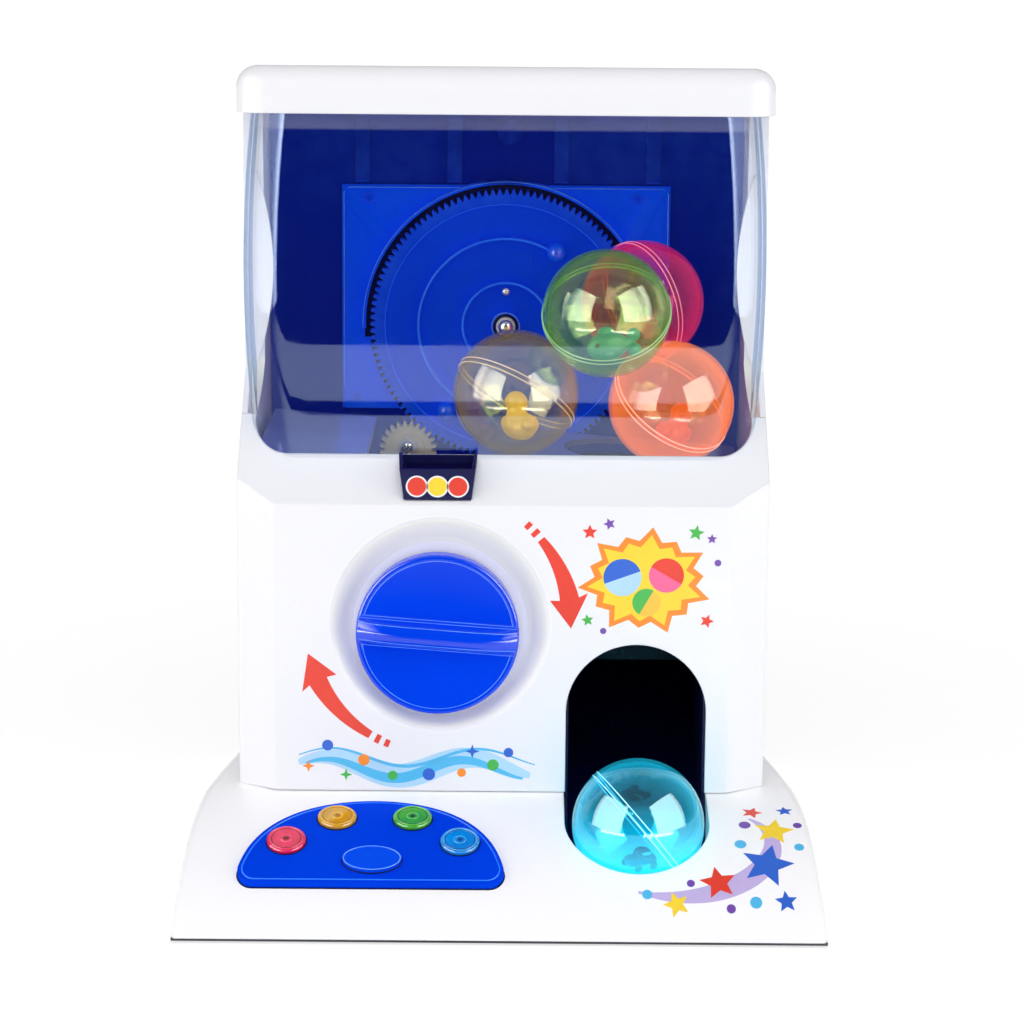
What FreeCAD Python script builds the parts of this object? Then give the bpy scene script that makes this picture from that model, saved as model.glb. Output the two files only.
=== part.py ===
import FreeCAD, Part
import math, os

os.makedirs("parts", exist_ok=True)
V = FreeCAD.Vector

# ---- driving dimensions, mm: X to the right, Y to the back, Z up, front of the machine at -Y ----
PANEL_Y = -53.0          # front panel plane
BASE_FRONT_Y = -135.0    # front edge of the flared base
BACK_Y = 131.0           # outside of the rear wall
BODY_HALF = 109.5        # half width of the housings
BASE_HALF = 129.7        # half width of the base at its front edge
WALL = 2.5
DECK_Z = 38.2            # flat rear part of the deck
DECK_R = 141.7           # curved front part of the deck
DECK_TANGENT_Y = PANEL_Y + 11.46
FLOOR_Z = 2.0            # underside of the base, on 2 mm feet
PANEL_HALF = 93.7        # half width of the flat front panel
SHOULDER_Z = 159.5       # top edge of the front panel
SHOULDER_SLOPE = 0.87
SPLIT_Y = PANEL_Y + 36.0     # seam of front and rear housing
CHEEK_Y = PANEL_Y + 55.0     # front edge of the rear housing beside the window
HOUSING_TOP = 316.5
LID_Z0, LID_Z1 = 317.0, 336.3
LID_FRONT_Y = PANEL_Y + 11.5
LID_HALF = 109.3
HINGE_Y, HINGE_Z = 132.0, 316.0
WINDOW_HALF = 106.0
WINDOW_Y = PANEL_Y + 17.5
WINDOW_R = 17.0
WINDOW_T = 2.0
KNOB_X, KNOB_Z, KNOB_R = -26.6, 105.0, 33.7
DISH_X, DISH_Z, DISH_R, DISH_FLOOR_Z, DISH_FLOOR_R, DISH_DEPTH = -25.7, 109.2, 44.6, 106.8, 41.2, 7.0
KNOB_TILT = 4.2
OUTLET_X, OUTLET_HALF, OUTLET_SPRING = 55.6, 29.0, 72.4
WELL_HALF = 29.5
WELL_Y = PANEL_Y - 26.4
CAPSULE_R = 26.9
SEAM_R = 27.05
MODULE = 1.0
WHEEL_T, PINION_T, IDLER_T, KNOB_T = 120, 24, 24, 48
WHEEL_X, WHEEL_Z = 0.2, 214.0
PINION_ANGLE = math.atan2(-57.1, -43.9)
BACKLASH = 0.30
BACK_PLATE_Y = 101.0     # front of the hopper back wall
PAD_Y = 95.0             # front of its raised pad
WHEEL_Y0, WHEEL_Y1 = 87.0, 93.0
TRAIN_Y0, TRAIN_Y1 = 108.0, 114.0
BUTTON_R = 7.9
BUTTON_TRAVEL = 1.8
BUTTON_TOP = 1.7


# ---- helpers ----
def box(x0, x1, y0, y1, z0, z1):
    return Part.makeBox(x1 - x0, y1 - y0, z1 - z0, V(x0, y0, z0))


def cyl_x(y, z, r, x0, x1):
    return Part.makeCylinder(r, x1 - x0, V(x0, y, z), V(1, 0, 0))


def cyl_y(x, z, r, y0, y1):
    return Part.makeCylinder(r, y1 - y0, V(x, y0, z), V(0, 1, 0))


def cyl_z(x, y, r, z0, z1):
    return Part.makeCylinder(r, z1 - z0, V(x, y, z0), V(0, 0, 1))


def poly_face(pts):
    return Part.Face(Part.makePolygon(pts + [pts[0]]))


def prism_x(yz, x0, x1):
    return poly_face([V(x0, y, z) for y, z in yz]).extrude(V(x1 - x0, 0, 0))


def prism_y(xz, y0, y1):
    return poly_face([V(x, y0, z) for x, z in xz]).extrude(V(0, y1 - y0, 0))


def prism_z(xy, z0, z1):
    return poly_face([V(x, y, z0) for x, y in xy]).extrude(V(0, 0, z1 - z0))


def union(shapes):
    s = shapes[0]
    if len(shapes) > 1:
        s = s.fuse(shapes[1:])
    return s.removeSplitter()


def cut(shape, tools):
    for t in tools:
        shape = shape.cut(t)
    return shape


def save(name, *shapes):
    solids = []
    for s in shapes:
        solids += s.Solids
    out = solids[0] if len(solids) == 1 else Part.makeCompound(solids)
    out.exportStep("parts/" + name + ".step")


def try_fillet(shape, radius, pick):
    edges = [e for e in shape.Edges if pick(e)]
    if not edges:
        return shape
    try:
        out = shape.makeFillet(radius, edges)
        return out if out.isValid() and out.Solids else shape
    except Exception:
        return shape


# involute spur gear outline, tooth centred on angle "phase", as (x, z) about its own centre
def gear_points(teeth, phase, tip_add=0.97, root_ded=1.3):
    r = MODULE * teeth / 2.0
    rb = r * math.cos(math.radians(20))
    rt, rr = r + tip_add * MODULE, r - root_ded * MODULE
    inv = lambda rho: math.tan(math.acos(rb / rho)) - math.acos(rb / rho)
    half = lambda rho: (math.pi / (2 * teeth) - BACKLASH / 2 / (2 * r) + inv(r) - inv(max(rho, rb * 1.000001)))
    lo = max(rb * 1.000001, rr)
    radii = [rr] if lo > rr + 1e-6 else []
    radii += [lo + (rt - lo) * k / 3.0 for k in range(4)]
    pts = []
    for i in range(teeth):
        c = phase + 2 * math.pi * i / teeth
        pts += [(rho, c - half(rho)) for rho in radii]
        pts += [(rho, c + half(rho)) for rho in reversed(radii)]
    return [(rho * math.cos(a), rho * math.sin(a)) for rho, a in pts]


def gear(teeth, phase, x, z, y0, y1):
    return prism_y([(x + px, z + pz) for px, pz in gear_points(teeth, phase)], y0, y1)


def pan_screw(p, d, head_r, head_h, shank_r, shank_l):
    # head seated at point p, shank along direction d, head the other way
    d = V(*d)
    p = V(*p)
    head = Part.makeCylinder(head_r, head_h, p, d * -1)
    shank = Part.makeCylinder(shank_r, shank_l, p, d)
    s = head.fuse(shank)
    a = V(0, 0, 1) if abs(d.z) < 0.5 else V(1, 0, 0)
    b = d.cross(a)
    c = p - d * head_h
    for u, w in ((a, b), (b, a)):
        k = Part.makeBox(head_r * 1.2, head_r * 0.28, head_h * 0.45, V(-head_r * 0.6, -head_r * 0.14, 0))
        k.Placement = FreeCAD.Placement(c, FreeCAD.Rotation(u, w, d, "ZXY"))
        s = s.cut(k)
    return s


# ---- base: flared outline, flat deck behind and curved deck in front ----
SIDE = [(BASE_HALF, -82.0), (127.3, -41.0), (124.2, 0.0), (119.7, 35.0), (114.5, 67.0), (BODY_HALF, 100.0)]


def base_outline(inset, front, z0, z1):
    right = []
    for hw, yr in SIDE:
        right.append(V(hw - inset, PANEL_Y + max(yr, front), z0))
    if front > -82.0:
        right[0] = V(129.7 - (front + 82.0) * 0.0585 - inset, PANEL_Y + front, z0)
    back = BACK_Y - inset
    curve = Part.BSplineCurve()
    curve.interpolate(right)
    e1 = curve.toShape()
    left = [V(-p.x, p.y, p.z) for p in right]
    curve2 = Part.BSplineCurve()
    curve2.interpolate(left[::-1])
    e5 = curve2.toShape()
    r_end, l_end = right[-1], left[-1]
    e2 = Part.makeLine(r_end, V(r_end.x, back, z0))
    e3 = Part.makeLine(V(r_end.x, back, z0), V(l_end.x, back, z0))
    e4 = Part.makeLine(V(l_end.x, back, z0), l_end)
    e6 = Part.makeLine(left[0], right[0])
    return Part.Face(Part.Wire([e1, e2, e3, e4, e5, e6])).extrude(V(0, 0, z1 - z0))


def deck_body(off, x0=-140.0, x1=140.0):
    # everything under the deck surface lowered by off
    r = DECK_R - off
    cy, cz = DECK_TANGENT_Y, DECK_Z - DECK_R

    def on(yr):
        y = PANEL_Y + yr
        return V(x0, y, cz + math.sqrt(r * r - (y - cy) ** 2))

    p0, pm, p1 = on(-90.0), on(-45.0), V(x0, cy, cz + r)
    p2, p3, p4 = V(x0, 150, cz + r), V(x0, 150, -12), V(x0, p0.y, -12)
    wire = Part.Wire([Part.Arc(p0, pm, p1).toShape(), Part.makeLine(p1, p2), Part.makeLine(p2, p3),
                      Part.makeLine(p3, p4), Part.makeLine(p4, p0)])
    return Part.Face(wire).extrude(V(x1 - x0, 0, 0))


def well(half, y_end, z0, z1):
    return union([box(OUTLET_X - half, OUTLET_X + half, WELL_Y, y_end, z0, z1), cyl_z(OUTLET_X, WELL_Y, half, z0, z1).common(box(0, 120, -140, WELL_Y + 1, z0, z1))])


# half-moon panel outline: wide arc behind, straight edge in front, rounded ends
HALF_MOON_X, HALF_MOON_Y, HALF_MOON_R = -51.5, PANEL_Y - 68.5, 54.4
HALF_MOON_FRONT_Y = PANEL_Y - 63.3


def half_moon(inset, z0, z1):
    s = cyl_z(HALF_MOON_X, HALF_MOON_Y, HALF_MOON_R - inset, z0, z1)
    s = s.common(box(-140, 60, HALF_MOON_FRONT_Y + inset, 0, z0, z1))
    return try_fillet(s, 6.0 - inset * 0.6, lambda e: abs(e.BoundBox.ZLength - (z1 - z0)) < 1e-3
                      and e.BoundBox.YMax < HALF_MOON_FRONT_Y + inset + 0.01)


base_sharp = base_outline(0, -82.0, FLOOR_Z, 60).common(deck_body(0))
# the deck's two side edges are rounded, except where the housing stands on them
base_outer = try_fillet(base_sharp, 4.5, lambda e: e.BoundBox.ZMax > 37 and e.BoundBox.ZMin < 30 and e.BoundBox.YLength > 50)
base_outer = base_outer.fuse(base_sharp.common(box(-BODY_HALF, BODY_HALF, SPLIT_Y, BACK_Y, FLOOR_Z, 60))).removeSplitter()
base_tray = base_outer.cut(base_outline(WALL, -79.5, FLOOR_Z - 1, 60).common(deck_body(WALL)))
cup = well(WELL_HALF + 2.0, PANEL_Y + 4.0, 4.5, 60).common(base_outer)
base_tray = base_tray.fuse(cup)
base_tray = cut(base_tray, [
    well(WELL_HALF, PANEL_Y + 4.5, 6.5, 70),
    box(OUTLET_X - WELL_HALF, OUTLET_X + WELL_HALF, PANEL_Y, PANEL_Y + 74, 30, 50),
    half_moon(1.6, 0, 60).common(box(-140, 20, -140, 0, 8, 60)),
    box(-101, -69, PANEL_Y + 9.5, PANEL_Y + 18.5, 30, 50),
])

# floor plate under the base, with openings for battery door, speaker, coin plug and switch
plate = base_outline(WALL + 0.2, -75.5, FLOOR_Z - 0.2, 4.5).fuse(base_outline(0.8, -81.2, 0.8, FLOOR_Z)).removeSplitter()
BAT_X, BAT_Y = 0.0, PANEL_Y + 122.0
PLUG_X, PLUG_Y = -82.0, PANEL_Y + 34.0
SPK_X, SPK_Y = 66.0, PANEL_Y + 128.0
SW_X, SW_Y = -70.0, PANEL_Y + 128.0
plate_tools = [box(BAT_X - 33, BAT_X + 33, BAT_Y - 27, BAT_Y + 27, 0, 8), cyl_z(PLUG_X, PLUG_Y, 17.3, 0, 8),
               box(SW_X - 6.5, SW_X + 6.5, SW_Y - 3.2, SW_Y + 3.2, 0, 8)]
for k in range(-3, 4):
    w = math.sqrt(20.0 ** 2 - (5.5 * k) ** 2)
    plate_tools.append(box(SPK_X - w, SPK_X + w, SPK_Y + 5.5 * k - 1.2, SPK_Y + 5.5 * k + 1.2, 0, 8))
FLOOR_SCREWS = [(-100, PANEL_Y - 40), (104, PANEL_Y + 10), (-112, PANEL_Y + 4), (0, PANEL_Y - 60),
                (-95, PANEL_Y + 172), (95, PANEL_Y + 172)]
for x, y in FLOOR_SCREWS:
    plate_tools += [cyl_z(x, y, 1.5, 0, 8), cyl_z(x, y, 3.0, 0, 3.4)]
posts = [cyl_z(x, y, 3.0, 4.0, 14) for x in (-45, 9) for y in (PANEL_Y + 35, PANEL_Y + 69)]
coin_bin = box(-105, -60, PANEL_Y + 6, PANEL_Y + 62, 4.0, 35.5).cut(box(-103, -62, PANEL_Y + 8, PANEL_Y + 60, 0, 50))
FEET = ((-98, -58), (98, -58), (-88, 160), (88, 160))
plate_tools += [cyl_z(x, PANEL_Y + yr, 8.05, 0, FLOOR_Z) for x, yr in FEET]
save("base_floor_plate", cut(union([plate, coin_bin] + posts), plate_tools))
save("floor_screws", *([pan_screw((x, y, 3.4), (0, 0, 1), 2.9, 1.2, 1.5, 3.2) for x, y in FLOOR_SCREWS]
                       + [pan_screw((BAT_X, BAT_Y + 23.0, 3.4), (0, 0, 1), 2.9, 1.2, 1.5, 0.9)]))

feet = [cyl_z(x, PANEL_Y + yr, 8.0, 0, FLOOR_Z) for x, yr in FEET]
save("rubber_feet", *feet)


# ---- front housing ----
def housing_plan(inset, y_back, z0, z1):
    c = inset * 0.42
    return prism_z([(-PANEL_HALF + c, PANEL_Y + inset), (PANEL_HALF - c, PANEL_Y + inset),
                    (BODY_HALF - inset, PANEL_Y + 10 + c), (BODY_HALF - inset, y_back),
                    (-BODY_HALF + inset, y_back), (-BODY_HALF + inset, PANEL_Y + 10 + c)], z0, z1)


def below_shoulder(drop, y0=-80.0, y1=40.0):
    z = lambda y: SHOULDER_Z - drop + SHOULDER_SLOPE * (y - PANEL_Y)
    return prism_x([(y0, z(y0)), (y1, z(y1)), (y1, 0), (y0, 0)], -130, 130)


def rounded_front(half, y_front, y_back, r, z0, z1):
    y_c = y_front + r
    return union([box(-half, half, y_c, y_back, z0, z1), box(-half + r, half - r, y_front, y_back, z0, z1),
                  cyl_z(-half + r, y_c, r, z0, z1), cyl_z(half - r, y_c, r, z0, z1)])


SLOPE_T = WALL * math.sqrt(1 + SHOULDER_SLOPE ** 2)
fh = housing_plan(0, SPLIT_Y, DECK_Z, 200).common(below_shoulder(0))
fh = fh.cut(housing_plan(WALL, SPLIT_Y + 5, DECK_Z - 5, 210).common(below_shoulder(SLOPE_T)))
fh = fh.cut(rounded_front(WINDOW_HALF - WINDOW_T - 0.5, WINDOW_Y + WINDOW_T + 0.5, SPLIT_Y + 5, WINDOW_R - 2.5, 150, 220))


def oblique(r0, y0, r1, y1):
    rings = [Part.Wire(Part.makeCircle(r, V(DISH_X, y, z), V(0, 1, 0))) for r, y, z in ((r0, y0, DISH_Z), (r1, y1, DISH_FLOOR_Z))]
    return Part.makeLoft(rings, True, True)


fh = fh.fuse(oblique(DISH_R + 2.2, PANEL_Y, DISH_FLOOR_R + 2.4, PANEL_Y + DISH_DEPTH + 2.2))
fh = fh.cut(oblique(DISH_R, PANEL_Y, DISH_FLOOR_R, PANEL_Y + DISH_DEPTH))
fh = try_fillet(fh, 1.4, lambda e: e.BoundBox.YMin > PANEL_Y - 0.01 and e.BoundBox.YMax < PANEL_Y + 0.01
                and abs(e.BoundBox.XLength - 2 * DISH_R) < 0.3)
fh = fh.cut(cyl_y(KNOB_X, KNOB_Z, 7.0, PANEL_Y, PANEL_Y + 20))
fh = fh.cut(cyl_y(OUTLET_X, OUTLET_SPRING, OUTLET_HALF, PANEL_Y - 1, PANEL_Y + 4))
fh = fh.cut(box(OUTLET_X - OUTLET_HALF, OUTLET_X + OUTLET_HALF, PANEL_Y - 1, PANEL_Y + 4, 30, OUTLET_SPRING))
FUNNEL_X = -26.8
FUNNEL = [(FUNNEL_X - 16.2, 178.6), (FUNNEL_X + 16.2, 178.6), (FUNNEL_X + 13.7, 161.6), (FUNNEL_X - 13.7, 161.6)]
FUNNEL_HOLE = [(FUNNEL_X - 16.75, 180.5), (FUNNEL_X + 16.75, 180.5), (FUNNEL_X + 13.85, 161.2), (FUNNEL_X - 13.85, 161.2)]
FY0, FY1 = PANEL_Y + 0.9, PANEL_Y + 18.4
fh = fh.cut(prism_y(FUNNEL_HOLE, FY0 - 0.2, FY1 + 0.2).common(box(-60, 10, -80, 0, 161.2, 190)))
save("front_housing", fh.removeSplitter())

# ---- rear housing: two sides and a back, open to the front and on top ----
side_yz = [(SPLIT_Y, DECK_Z), (SPLIT_Y, SHOULDER_Z + SHOULDER_SLOPE * 36.0),
           (CHEEK_Y, SHOULDER_Z + SHOULDER_SLOPE * 55.0), (CHEEK_Y, HOUSING_TOP), (BACK_Y, HOUSING_TOP), (BACK_Y, DECK_Z)]
rh = prism_x(side_yz, -BODY_HALF, BODY_HALF)
rh = try_fillet(rh, 8.0, lambda e: e.BoundBox.ZLength > 250 and e.BoundBox.YMin > BACK_Y - 1)
rh_in = box(-BODY_HALF + WALL, BODY_HALF - WALL, SPLIT_Y - 30, BACK_Y - WALL, DECK_Z - 5, HOUSING_TOP + 5)
rh_in = try_fillet(rh_in, 5.5, lambda e: e.BoundBox.ZLength > 250 and e.BoundBox.YMin > BACK_Y - WALL - 1)
rh = rh.cut(rh_in)
REAR_SCREWS = [(sx * 96.0, z) for sx in (-1, 1) for z in (60.0, 165.0, 292.0)]
for x, z in REAR_SCREWS:
    rh = rh.fuse(cyl_y(x, z, 6.0, BACK_Y - 12.0, BACK_Y - 1.0))
    rh = rh.cut(cyl_y(x, z, 4.0, BACK_Y - 8.0, BACK_Y + 1)).cut(cyl_y(x, z, 1.6, BACK_Y - 20, BACK_Y + 1))
lugs = []
for sx in (-1, 1):
    for x0, x1 in ((56.0, 63.6), (80.4, 88.0)):
        a, b = sorted((sx * x0, sx * x1))
        lugs += [cyl_x(HINGE_Y, HINGE_Z, 3.0, a, b), box(a, b, BACK_Y - 1.5, HINGE_Y, HINGE_Z - 9, HINGE_Z - 1.2),
                 prism_x([(HINGE_Y, HINGE_Z - 9), (HINGE_Y + 3.0, HINGE_Z - 1.0), (HINGE_Y, HINGE_Z)], a, b)]
rh = union([rh] + lugs)
rh = rh.fuse([cyl_x(HINGE_Y, HINGE_Z, 1.5, *sorted((sx * 56.0, sx * 88.0))) for sx in (-1, 1)])
for sx in (-1, 1):
    a, b = sorted((sx * 63.7, sx * 80.3))
    rh = rh.cut(cyl_x(HINGE_Y, HINGE_Z, 3.35, a, b).cut(cyl_x(HINGE_Y, HINGE_Z, 1.5, a - 1, b + 1)))
for k in range(-2, 3):
    rh = rh.cut(box(-30, 30, BACK_Y - 5, BACK_Y + 1, 70 + 8.0 * k - 1.3, 70 + 8.0 * k + 1.3))
# front lip beside the window
for sx in (-1, 1):
    rh = rh.fuse(box(*sorted((sx * 101.2, sx * (BODY_HALF - 1.0))), CHEEK_Y, CHEEK_Y + 2.2, 209.0, 314.0))
save("rear_housing", rh.removeSplitter())
save("housing_screws", *[pan_screw((x, BACK_Y - 8.0, z), (0, -1, 0), 3.6, 2.2, 1.6, 14.0) for x, z in REAR_SCREWS])

# ---- clear hopper window standing on the shoulder ----
win = rounded_front(WINDOW_HALF, WINDOW_Y, CHEEK_Y - 0.3, WINDOW_R, 150, 322)
win = win.cut(rounded_front(WINDOW_HALF - WINDOW_T, WINDOW_Y + WINDOW_T, CHEEK_Y + 5, WINDOW_R - WINDOW_T, 140, 330))
win = win.cut(below_shoulder(0.0))
save("hopper_window", win)

# ---- lid with two hinge knuckles ----
def lid_plan(inset, r_front, r_back, z0, z1):
    h, y0, y1 = LID_HALF - inset, LID_FRONT_Y + inset, BACK_Y - inset
    k = math.sqrt(0.5)

    def corner(cx, cy, r, a):
        pts = [V(cx + r * math.cos(t), cy + r * math.sin(t), z0) for t in (a, a + math.pi / 4, a + math.pi / 2)]
        return pts

    c = [corner(h - r_front, y0 + r_front, r_front, -math.pi / 2), corner(h - r_back, y1 - r_back, r_back, 0.0),
         corner(-h + r_back, y1 - r_back, r_back, math.pi / 2), corner(-h + r_front, y0 + r_front, r_front, math.pi)]
    edges = []
    for i in range(4):
        edges.append(Part.Arc(*c[i]).toShape())
        edges.append(Part.makeLine(c[i][2], c[(i + 1) % 4][0]))
    return Part.Face(Part.Wire(edges)).extrude(V(0, 0, z1 - z0))


lid_top = lambda y: LID_Z1 - 0.0545 * (y - LID_FRONT_Y)  # the lid's top falls gently towards the hinge
crown = lambda inset: prism_x([(-90, 290), (-90, lid_top(-90) - inset), (170, lid_top(170) - inset), (170, 290)], -130, 130)
on_top = lambda e: e.BoundBox.ZMin > LID_Z0 + 6.0
lid = try_fillet(lid_plan(0.0, 12.0, 10.0, LID_Z0, LID_Z1 + 5).common(crown(0.0)), 9.0, on_top)
lid = lid.cut(try_fillet(lid_plan(WALL, 9.5, 7.5, LID_Z0 - 1, LID_Z1 + 5).common(crown(WALL)), 6.0, on_top))
for sx in (-1, 1):
    for x0, x1 in ((55.6, 64.0), (80.0, 88.4)):
        lid = lid.cut(cyl_x(HINGE_Y, HINGE_Z, 3.35, *sorted((sx * x0, sx * x1))))
    a, b = sorted((sx * 64.0, sx * 80.0))
    lid = lid.fuse([cyl_x(HINGE_Y, HINGE_Z, 3.0, a, b), box(a, b, BACK_Y - 1.5, HINGE_Y + 2.2, LID_Z0 + 0.2, LID_Z0 + 7)])
    lid = lid.cut(cyl_x(HINGE_Y, HINGE_Z, 1.55, a - 1, b + 1))
save("lid", lid.removeSplitter())

# ---- hopper back plate: wall, raised pad, ribs, shroud, bearing bosses ----
C_W = MODULE * (WHEEL_T + PINION_T) / 2.0
PINION_X = WHEEL_X + C_W * math.cos(PINION_ANGLE)
PINION_Z = WHEEL_Z + C_W * math.sin(PINION_ANGLE)
C_IK = MODULE * (IDLER_T + KNOB_T) / 2.0
C_IP = MODULE * (IDLER_T + PINION_T) / 2.0
dx, dz = PINION_X - KNOB_X, PINION_Z - KNOB_Z
dist = math.hypot(dx, dz)
along = (C_IK ** 2 - C_IP ** 2 + dist ** 2) / (2 * dist)
off = math.sqrt(C_IK ** 2 - along ** 2)
IDLER_X = KNOB_X + along * dx / dist - off * dz / dist
IDLER_Z = KNOB_Z + along * dz / dist + off * dx / dist

bp = [box(-106.5, 106.5, BACK_PLATE_Y, BACK_PLATE_Y + 2.5, 45, 314)]
bp.append(try_fillet(box(-74, 74, PAD_Y, BACK_PLATE_Y + 1, 174.6, 276.0), 3.8, lambda e: e.BoundBox.YMax < PAD_Y + 0.01 and e.BoundBox.ZMax > 175))
ring = cyl_y(WHEEL_X, WHEEL_Z, 64.5, 89.0, BACK_PLATE_Y + 1).cut(cyl_y(WHEEL_X, WHEEL_Z, 63.2, 80, 110))
sector = [(WHEEL_X, WHEEL_Z)] + [(WHEEL_X + 90 * math.cos(math.radians(a)), WHEEL_Z + 90 * math.sin(math.radians(a)))
                                 for a in range(35, 183, 7)]
bp.append(ring.common(prism_y(sector, 80, 110)))
for x0 in (-68.0, -26.5, 21.5, 63.0):
    bp.append(box(x0, x0 + 6.5, BACK_PLATE_Y - 2.0, BACK_PLATE_Y + 1, 277.0, 308))
bp.append(cyl_y(1.5, 299.5, 5.4, BACK_PLATE_Y - 3.0, BACK_PLATE_Y + 1))
bp.append(cyl_y(KNOB_X, KNOB_Z, 8.0, 94.0, BACK_PLATE_Y + 1))
bp.append(cyl_y(IDLER_X, IDLER_Z, 5.0, BACK_PLATE_Y + 1, TRAIN_Y0 - 0.3))
bp.append(cyl_y(IDLER_X, IDLER_Z, 2.0, BACK_PLATE_Y + 1, TRAIN_Y1 + 1.0))
bp.append(cyl_y(PINION_X, PINION_Z, 7.0, 94.0, BACK_PLATE_Y + 1))
for strip in ([(-71.0, 270.6), (-66.0, 270.6), (-50.4, 252.4), (-54.4, 248.9), (-71.0, 266.4)],
              [(62.6, 271.6), (70.4, 271.6), (60.6, 252.6), (54.0, 251.8)]):
    bp.append(prism_y(strip, PAD_Y - 0.9, PAD_Y + 1))
bp = union(bp)
bp = bp.cut(box(-71.5, 71.5, PAD_Y + 2.5, BACK_PLATE_Y + 5, 177.1, 273.5))
bp = bp.fuse(cyl_y(WHEEL_X, WHEEL_Z, 8.0, PAD_Y + 1, BACK_PLATE_Y + 2.5))
AXLE_R = 3.5
bp = bp.fuse(cyl_y(WHEEL_X, WHEEL_Z, AXLE_R, 84.2, BACK_PLATE_Y + 2.5))
bp = cut(bp, [cyl_y(WHEEL_X, WHEEL_Z, 1.5, 80, 96), cyl_y(KNOB_X, KNOB_Z, 4.05, 80, 120),
              cyl_y(PINION_X, PINION_Z, 3.05, 80, 120)])
PLATE_SCREWS = [(-61.5, 270.6), (59.0, 270.6), (-67.0, 180.5), (68.5, 180.5)]
for x, z in PLATE_SCREWS:
    bp = bp.cut(cyl_y(x, z, 1.6, PAD_Y - 2, PAD_Y + 4))
save("hopper_back_plate", bp.removeSplitter())
save("back_plate_screws", *[pan_screw((x, PAD_Y, z), (0, 1, 0), 2.6, 1.5, 1.6, 4.5) for x, z in PLATE_SCREWS])

# ---- hopper floor, sloping down to the right, with the drop hole ----
DROP_X, DROP_Y, DROP_R = 56.0, PANEL_Y + 97.0, 29.5
hf_z = lambda x: 168.7 - 0.0758 * (x - 5.0)
hf = prism_y([(-103.0, hf_z(-103.0)), (103.0, hf_z(103.0)), (103.0, hf_z(103.0) - 2.5), (-103.0, hf_z(-103.0) - 2.5)],
             PANEL_Y + 20.6, PANEL_Y + 131.0)
hf = hf.common(rounded_front(WINDOW_HALF - WINDOW_T - 0.8, WINDOW_Y + WINDOW_T + 0.8, 100, WINDOW_R - 2.8, 100, 200))
hf = cut(hf, [cyl_z(DROP_X, DROP_Y, DROP_R, 100, 200), box(-57.4, -11, PANEL_Y + 28, PANEL_Y + 140, 100, 200)])
save("hopper_floor", hf)

# ---- capsule chute: shaft under the drop hole, ramp and tongue into the well ----
P = PANEL_Y
ramp = lambda yr: 8.6 + 0.4 * (yr + 6.0)
shaft_o = box(25, 94.5, P + 64.5, P + 130.5, 93, 158)
shaft_i = box(27, 92.5, P + 66.5, P + 128.5, 95, 170)
tun_o = prism_x([(P - 6, ramp(-6) - 2.0), (P + 130.5, ramp(130.5) - 2.0), (P + 130.5, 95), (P + 130.5, 120), (P + 64.5, 120),
                 (P + 2.8, 103.6), (P + 2.8, 37.0), (P - 6, 30.0)], 26.3, 84.9)
tun_i = prism_x([(P - 8, ramp(-8)), (P + 128.5, ramp(128.5)), (P + 128.5, 118), (P + 66.0, 118),
                 (P + 2.8, 101.4), (P - 8, 101.4)], 27.7, 83.5)
chute = union([shaft_o, tun_o]).cut(shaft_i).cut(tun_i)
GATE_X, GATE_Z = 88.6, 152.6
chute = chute.cut(cyl_y(GATE_X, GATE_Z, 1.25, P + 60, P + 135))
save("capsule_chute", chute.removeSplitter())
gate = union([box(30.5, GATE_X, P + 68.5, P + 126.5, GATE_Z - 1.0, GATE_Z + 1.0), cyl_y(GATE_X, GATE_Z, 2.6, P + 68.5, P + 126.5)])
gate = gate.fuse(cyl_y(GATE_X, GATE_Z, 1.2, P + 64.5, P + 130.5))
save("dispenser_gate", gate.removeSplitter())

# ---- coin funnel, chute, bin and twist plug ----
funnel = prism_y(FUNNEL, FY0, FY1)
inner = [(FUNNEL_X - 14.9, 179.6), (FUNNEL_X + 14.9, 179.6), (FUNNEL_X + 12.3, 163.4), (FUNNEL_X - 12.3, 163.4)]
funnel = funnel.cut(prism_y(inner, FY0 + 1.8, FY1 - 1.6))
funnel = funnel.cut(box(FUNNEL_X - 12.0, FUNNEL_X + 12.0, FY0 + 10.0, FY1 - 3.4, 140, 165))
funnel = funnel.cut(box(-80, 20, PANEL_Y + 16.2, FY1 + 1, 174.0, 190))
# low front plate, side walls rising to the window's foot
funnel = funnel.cut(prism_x([(FY0 - 2, 174.2), (FY0 + 1.8, 174.2), (PANEL_Y + 13.0, 178.3), (PANEL_Y + 25, 178.3), (PANEL_Y + 25, 190), (FY0 - 2, 190)], -80, 20))
save("coin_funnel", funnel)
CC0, CC1 = PANEL_Y + 10.2, PANEL_Y + 17.8
cc_o = [(-42.4, 161.5), (-9.6, 161.5), (-9.6, 142.0), (-66.6, 70.0), (-66.6, 38.4), (-103.4, 38.4), (-103.4, 78.0), (-42.4, 148.0)]
cc_i = [(-40.6, 163), (-11.4, 163), (-11.4, 142.7), (-68.4, 70.7), (-68.4, 30), (-101.6, 30), (-101.6, 77.3), (-40.6, 147.3)]
coin_chute = prism_y(cc_o, CC0, CC1).cut(prism_y(cc_i, CC0 + 1.5, CC1 - 1.5))
save("coin_chute", coin_chute)
plug = union([cyl_z(PLUG_X, PLUG_Y, 17.0, FLOOR_Z, 4.5), cyl_z(PLUG_X, PLUG_Y, 19.5, 4.8, 6.3), cyl_z(PLUG_X, PLUG_Y, 15.0, 4.4, 5.0)])
plug = plug.cut(box(PLUG_X - 12, PLUG_X + 12, PLUG_Y - 1.6, PLUG_Y + 1.6, 1, 3.4))
save("coin_plug", plug)


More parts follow.
